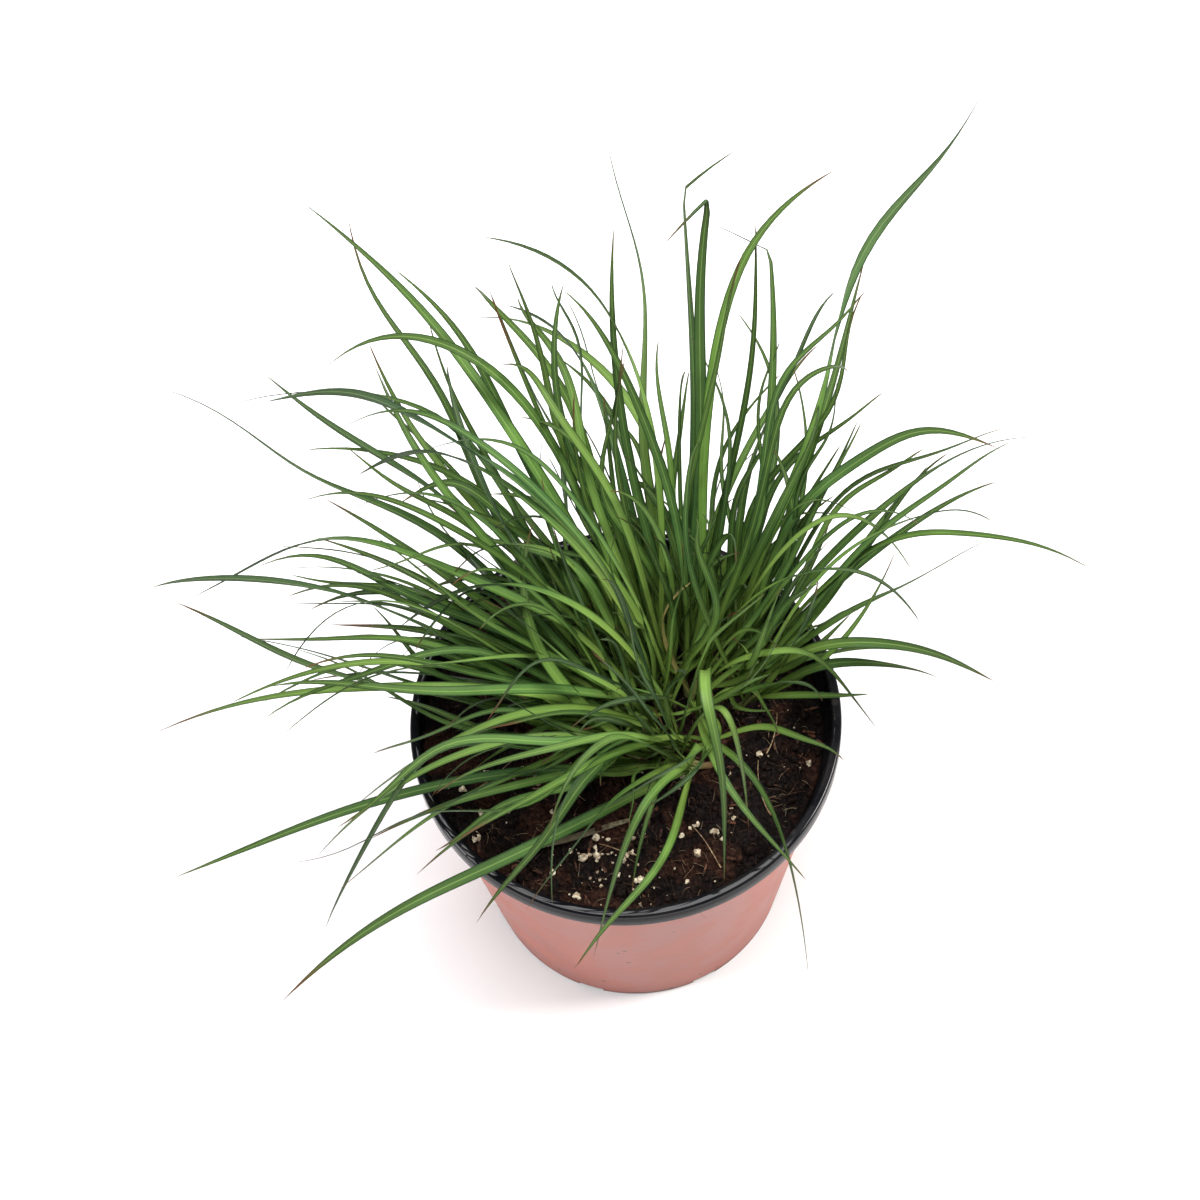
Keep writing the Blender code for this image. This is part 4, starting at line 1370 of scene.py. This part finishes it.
def marking_group():
    """The lengthways markings of a grass leaf: its fine veins, its midrib and its darker margins."""
    sockets = {"Across": "NodeSocketFloat", "Along": "NodeSocketFloat", "Veins": "NodeSocketFloat"}
    group, given, made = new_group("leaf_markings", sockets, ["Veins", "Midrib", "Margin"])
    waves = maths(group, "MULTIPLY", given["Across"], maths(group, "MULTIPLY", given["Veins"], math.pi))
    lines = maths(group, "ABSOLUTE", maths(group, "SINE", waves))
    feed(group, made["Veins"], ramp(group, lines, 0.55, 1.0))
    off_middle = maths(group, "ABSOLUTE", given["Across"])
    feed(group, made["Midrib"], ramp(group, off_middle, 0.04, 0.17, 1.0, 0.0))
    feed(group, made["Margin"], ramp(group, off_middle, 0.62, 0.98))
    return group


MARKINGS = marking_group()
LEAF_YOUNG = (0.240, 0.380, 0.070, 1)
LEAF_TIP = (0.008, 0.020, 0.005, 1)
LEAF_BROWN = (0.100, 0.042, 0.018, 1)
LEAF_STRAW = (0.34, 0.27, 0.10, 1)
LEAF_BASE = (0.24, 0.34, 0.060, 1)
SHEATH_GREEN = (0.10, 0.17, 0.045, 1)
SHEATH_YELLOW = (0.30, 0.34, 0.11, 1)
SHEATH_RIB = (0.36, 0.36, 0.16, 1)
SHEATH_FOOT = (0.11, 0.035, 0.022, 1)


def leaf_attribute(tree, name):
    """The three parts of a value that each leaf carries."""
    return split(tree, add_node(tree, "ShaderNodeAttribute", attribute_name=name).outputs["Vector"])


def leaf_material(name, deep, fresh, blue, veins, rib, margin, gloss):
    """One side of the leaves: green that varies from leaf to leaf, yellower at its base, with veins, a
    pale midrib, darker margins and a dry tip."""
    material, tree, shader = new_material(name)
    across, along, length = leaf_attribute(tree, "leaf_place")
    freshness, dryness, blueness = leaf_attribute(tree, "leaf_character")
    marks = placed(tree, MARKINGS, {"Across": across, "Along": along, "Veins": 7.0})
    cloudy = mottled(tree, object_place(tree), 60.0, 0.2)
    fresh_here = maths(tree, "ADD", freshness, maths(tree, "MULTIPLY", cloudy, 0.3))
    colour = mixed(tree, ramp(tree, fresh_here, 0.15, 1.15), deep, fresh)
    colour = tinted(tree, colour, blue, blueness, 0.7)
    colour = mixed(tree, ramp(tree, freshness, 0.75, 1.0, 0.0, 0.6), colour, LEAF_YOUNG)
    colour = mixed(tree, ramp(tree, along, 0.15, 0.95, 0.0, 0.93), colour, LEAF_TIP)
    up = maths(tree, "MULTIPLY", along, length)
    colour = mixed(tree, ramp(tree, up, 8 * MM, 60 * MM, 0.6, 0.0), colour, LEAF_BASE)
    colour = tinted(tree, colour, veins, marks["Veins"], 0.42)
    colour = tinted(tree, colour, margin, marks["Margin"], 0.8)
    colour = tinted(tree, colour, rib, marks["Midrib"], 0.42)
    dry_from = maths(tree, "SUBTRACT", 1.0, maths(tree, "MULTIPLY", dryness, 0.16))
    dry_here = ramp(tree, maths(tree, "SUBTRACT", along, dry_from), -0.06, 0.05)
    colour = mixed(tree, dry_here, colour, LEAF_BROWN)
    colour = mixed(tree, ramp(tree, dryness, 0.97, 0.99, 0.0, 0.8), colour, LEAF_STRAW)
    roughness = ramp(tree, cloudy, 0.0, 1.0, gloss, gloss + 0.12)
    relief = maths(tree, "ADD", marks["Veins"], marks["Midrib"])
    finish_shader(tree, shader, colour, roughness, relief, 0.5, 0.14 * MM, 0.16)
    return material


def sheath_material():
    """The rolled leaf bases: pale yellow-green, ribbed, and purplish brown where they leave the peat."""
    material, tree, shader = new_material("leaf_sheath")
    across, along, _ = leaf_attribute(tree, "leaf_place")
    freshness, dryness, _ = leaf_attribute(tree, "leaf_character")
    ribs = placed(tree, MARKINGS, {"Across": across, "Along": along, "Veins": 14.0})["Veins"]
    cloudy = mottled(tree, object_place(tree), 160.0, 0.4)
    colour = mixed(tree, freshness, SHEATH_GREEN, SHEATH_YELLOW)
    colour = tinted(tree, colour, SHEATH_RIB, ribs, 0.35)
    low = ramp(tree, along, 0.1, 0.75, 0.9, 0.0)
    colour = tinted(tree, colour, SHEATH_FOOT, low, dryness)
    colour = tinted(tree, colour, LEAF_BROWN, cloudy, 0.4)
    finish_shader(tree, shader, colour, 0.5, ribs, 0.4, 0.15 * MM, 0.25)
    return material


leaf_upper = leaf_material(
    "leaf_upper",
    deep=(0.006, 0.038, 0.002, 1),
    fresh=(0.170, 0.335, 0.055, 1),
    blue=(0.026, 0.100, 0.038, 1),
    veins=(0.20, 0.33, 0.075, 1),
    rib=(0.24, 0.38, 0.09, 1),
    margin=(0.006, 0.024, 0.004, 1),
    gloss=0.36,
)
leaf_underside = leaf_material(
    "leaf_underside",
    deep=(0.010, 0.044, 0.007, 1),
    fresh=(0.145, 0.280, 0.066, 1),
    blue=(0.040, 0.108, 0.056, 1),
    veins=(0.16, 0.25, 0.10, 1),
    rib=(0.22, 0.31, 0.12, 1),
    margin=(0.008, 0.026, 0.006, 1),
    gloss=0.50,
)
leaf_sheath = sheath_material()

shoots = grown_shoots([solid_tree("pot"), solid_tree("compost")])
for number, shoot in enumerate(shoots, start=1):
    chance = random.Random(100 + number)
    skin = Skin()
    add_sheath(skin, shoot, chance)
    for leaf, order in shoot.grown:
        add_blade(skin, leaf, shoot.foot, shoot.start(order), chance)
    name = f"grass_shoot_{number:02d}"
    piece = add_piece(name, skin.to_mesh(name), [leaf_upper, leaf_underside, leaf_sheath])
    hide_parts(f"shoot_{number:02d}")

# ---- The floor, the lights and the camera ----------------------------------------------------------
# A plain white floor under a soft key light high on the right, a broad one overhead and a tall narrow
# one on the left, in a plain pale surround. The camera looks down on the clump from in front.

FLOOR_REACH = 3.0
FLOOR_PANELS = 24
FLOOR_COOL = (0.86, 0.86, 0.87, 1)
FLOOR_WHITE = (0.90, 0.90, 0.90, 1)
WARM = (1.0, 0.985, 0.96)
COOL = (0.97, 0.98, 1.0)
SURROUND = 0.22
CAMERA_PLACE = (-0.0064, -0.5124, 1.1780)
CAMERA_TURN = (0.5079, 0.0439, -0.0787)
CAMERA_LENS = 78
CAMERA_SENSOR = 36

sheet = bmesh.new()
bmesh.ops.create_grid(sheet, x_segments=FLOOR_PANELS, y_segments=FLOOR_PANELS, size=FLOOR_REACH)
floor = new_object("floor", mesh_of(sheet, "floor"))
floor_white, tree, shader = new_material("floor_white")
faint = mottled(tree, object_place(tree), 3.0, 0.0)
feed(tree, shader.inputs["Base Color"], mixed(tree, faint, FLOOR_COOL, FLOOR_WHITE))
shader.inputs["Roughness"].default_value = 0.9
floor.data.materials.append(floor_white)
floor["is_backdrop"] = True


def soft_light(name, place, target, size, power, colour=(1, 1, 1)):
    """A soft box of a given width and height, aimed at a point."""
    lamp = bpy.data.lights.new(name, "AREA")
    lamp.shape = "RECTANGLE"
    lamp.size, lamp.size_y = size
    lamp.energy = power
    lamp.color = colour
    box = new_object(name, lamp)
    box.location = place
    box.rotation_euler = (Vector(target) - Vector(place)).to_track_quat("-Z", "Y").to_euler()


soft_light("key_right", (2.2, 0.1, 2.0), (0, 0, 0.15), (1.0, 1.0), 88, WARM)
soft_light("tall_left", (-1.05, -0.24, 0.72), (0, 0, 0.15), (0.30, 0.90), 10, COOL)
soft_light("overhead", (-0.1, 0.1, 2.6), (0, 0, 0.1), (1.7, 1.7), 80)

world = bpy.data.worlds.new("surround")
bpy.context.scene.world = world
world.use_nodes = True
background = world.node_tree.nodes["Background"]
background.inputs["Color"].default_value = (1.0, 1.0, 1.0, 1)
background.inputs["Strength"].default_value = SURROUND
bpy.context.scene.view_settings.view_transform = "Standard"

camera_data = bpy.data.cameras.new("camera")
camera_data.lens = CAMERA_LENS
camera_data.sensor_width = CAMERA_SENSOR
camera = new_object("camera", camera_data)
camera.location = CAMERA_PLACE
camera.rotation_euler = CAMERA_TURN
bpy.context.scene.camera = camera
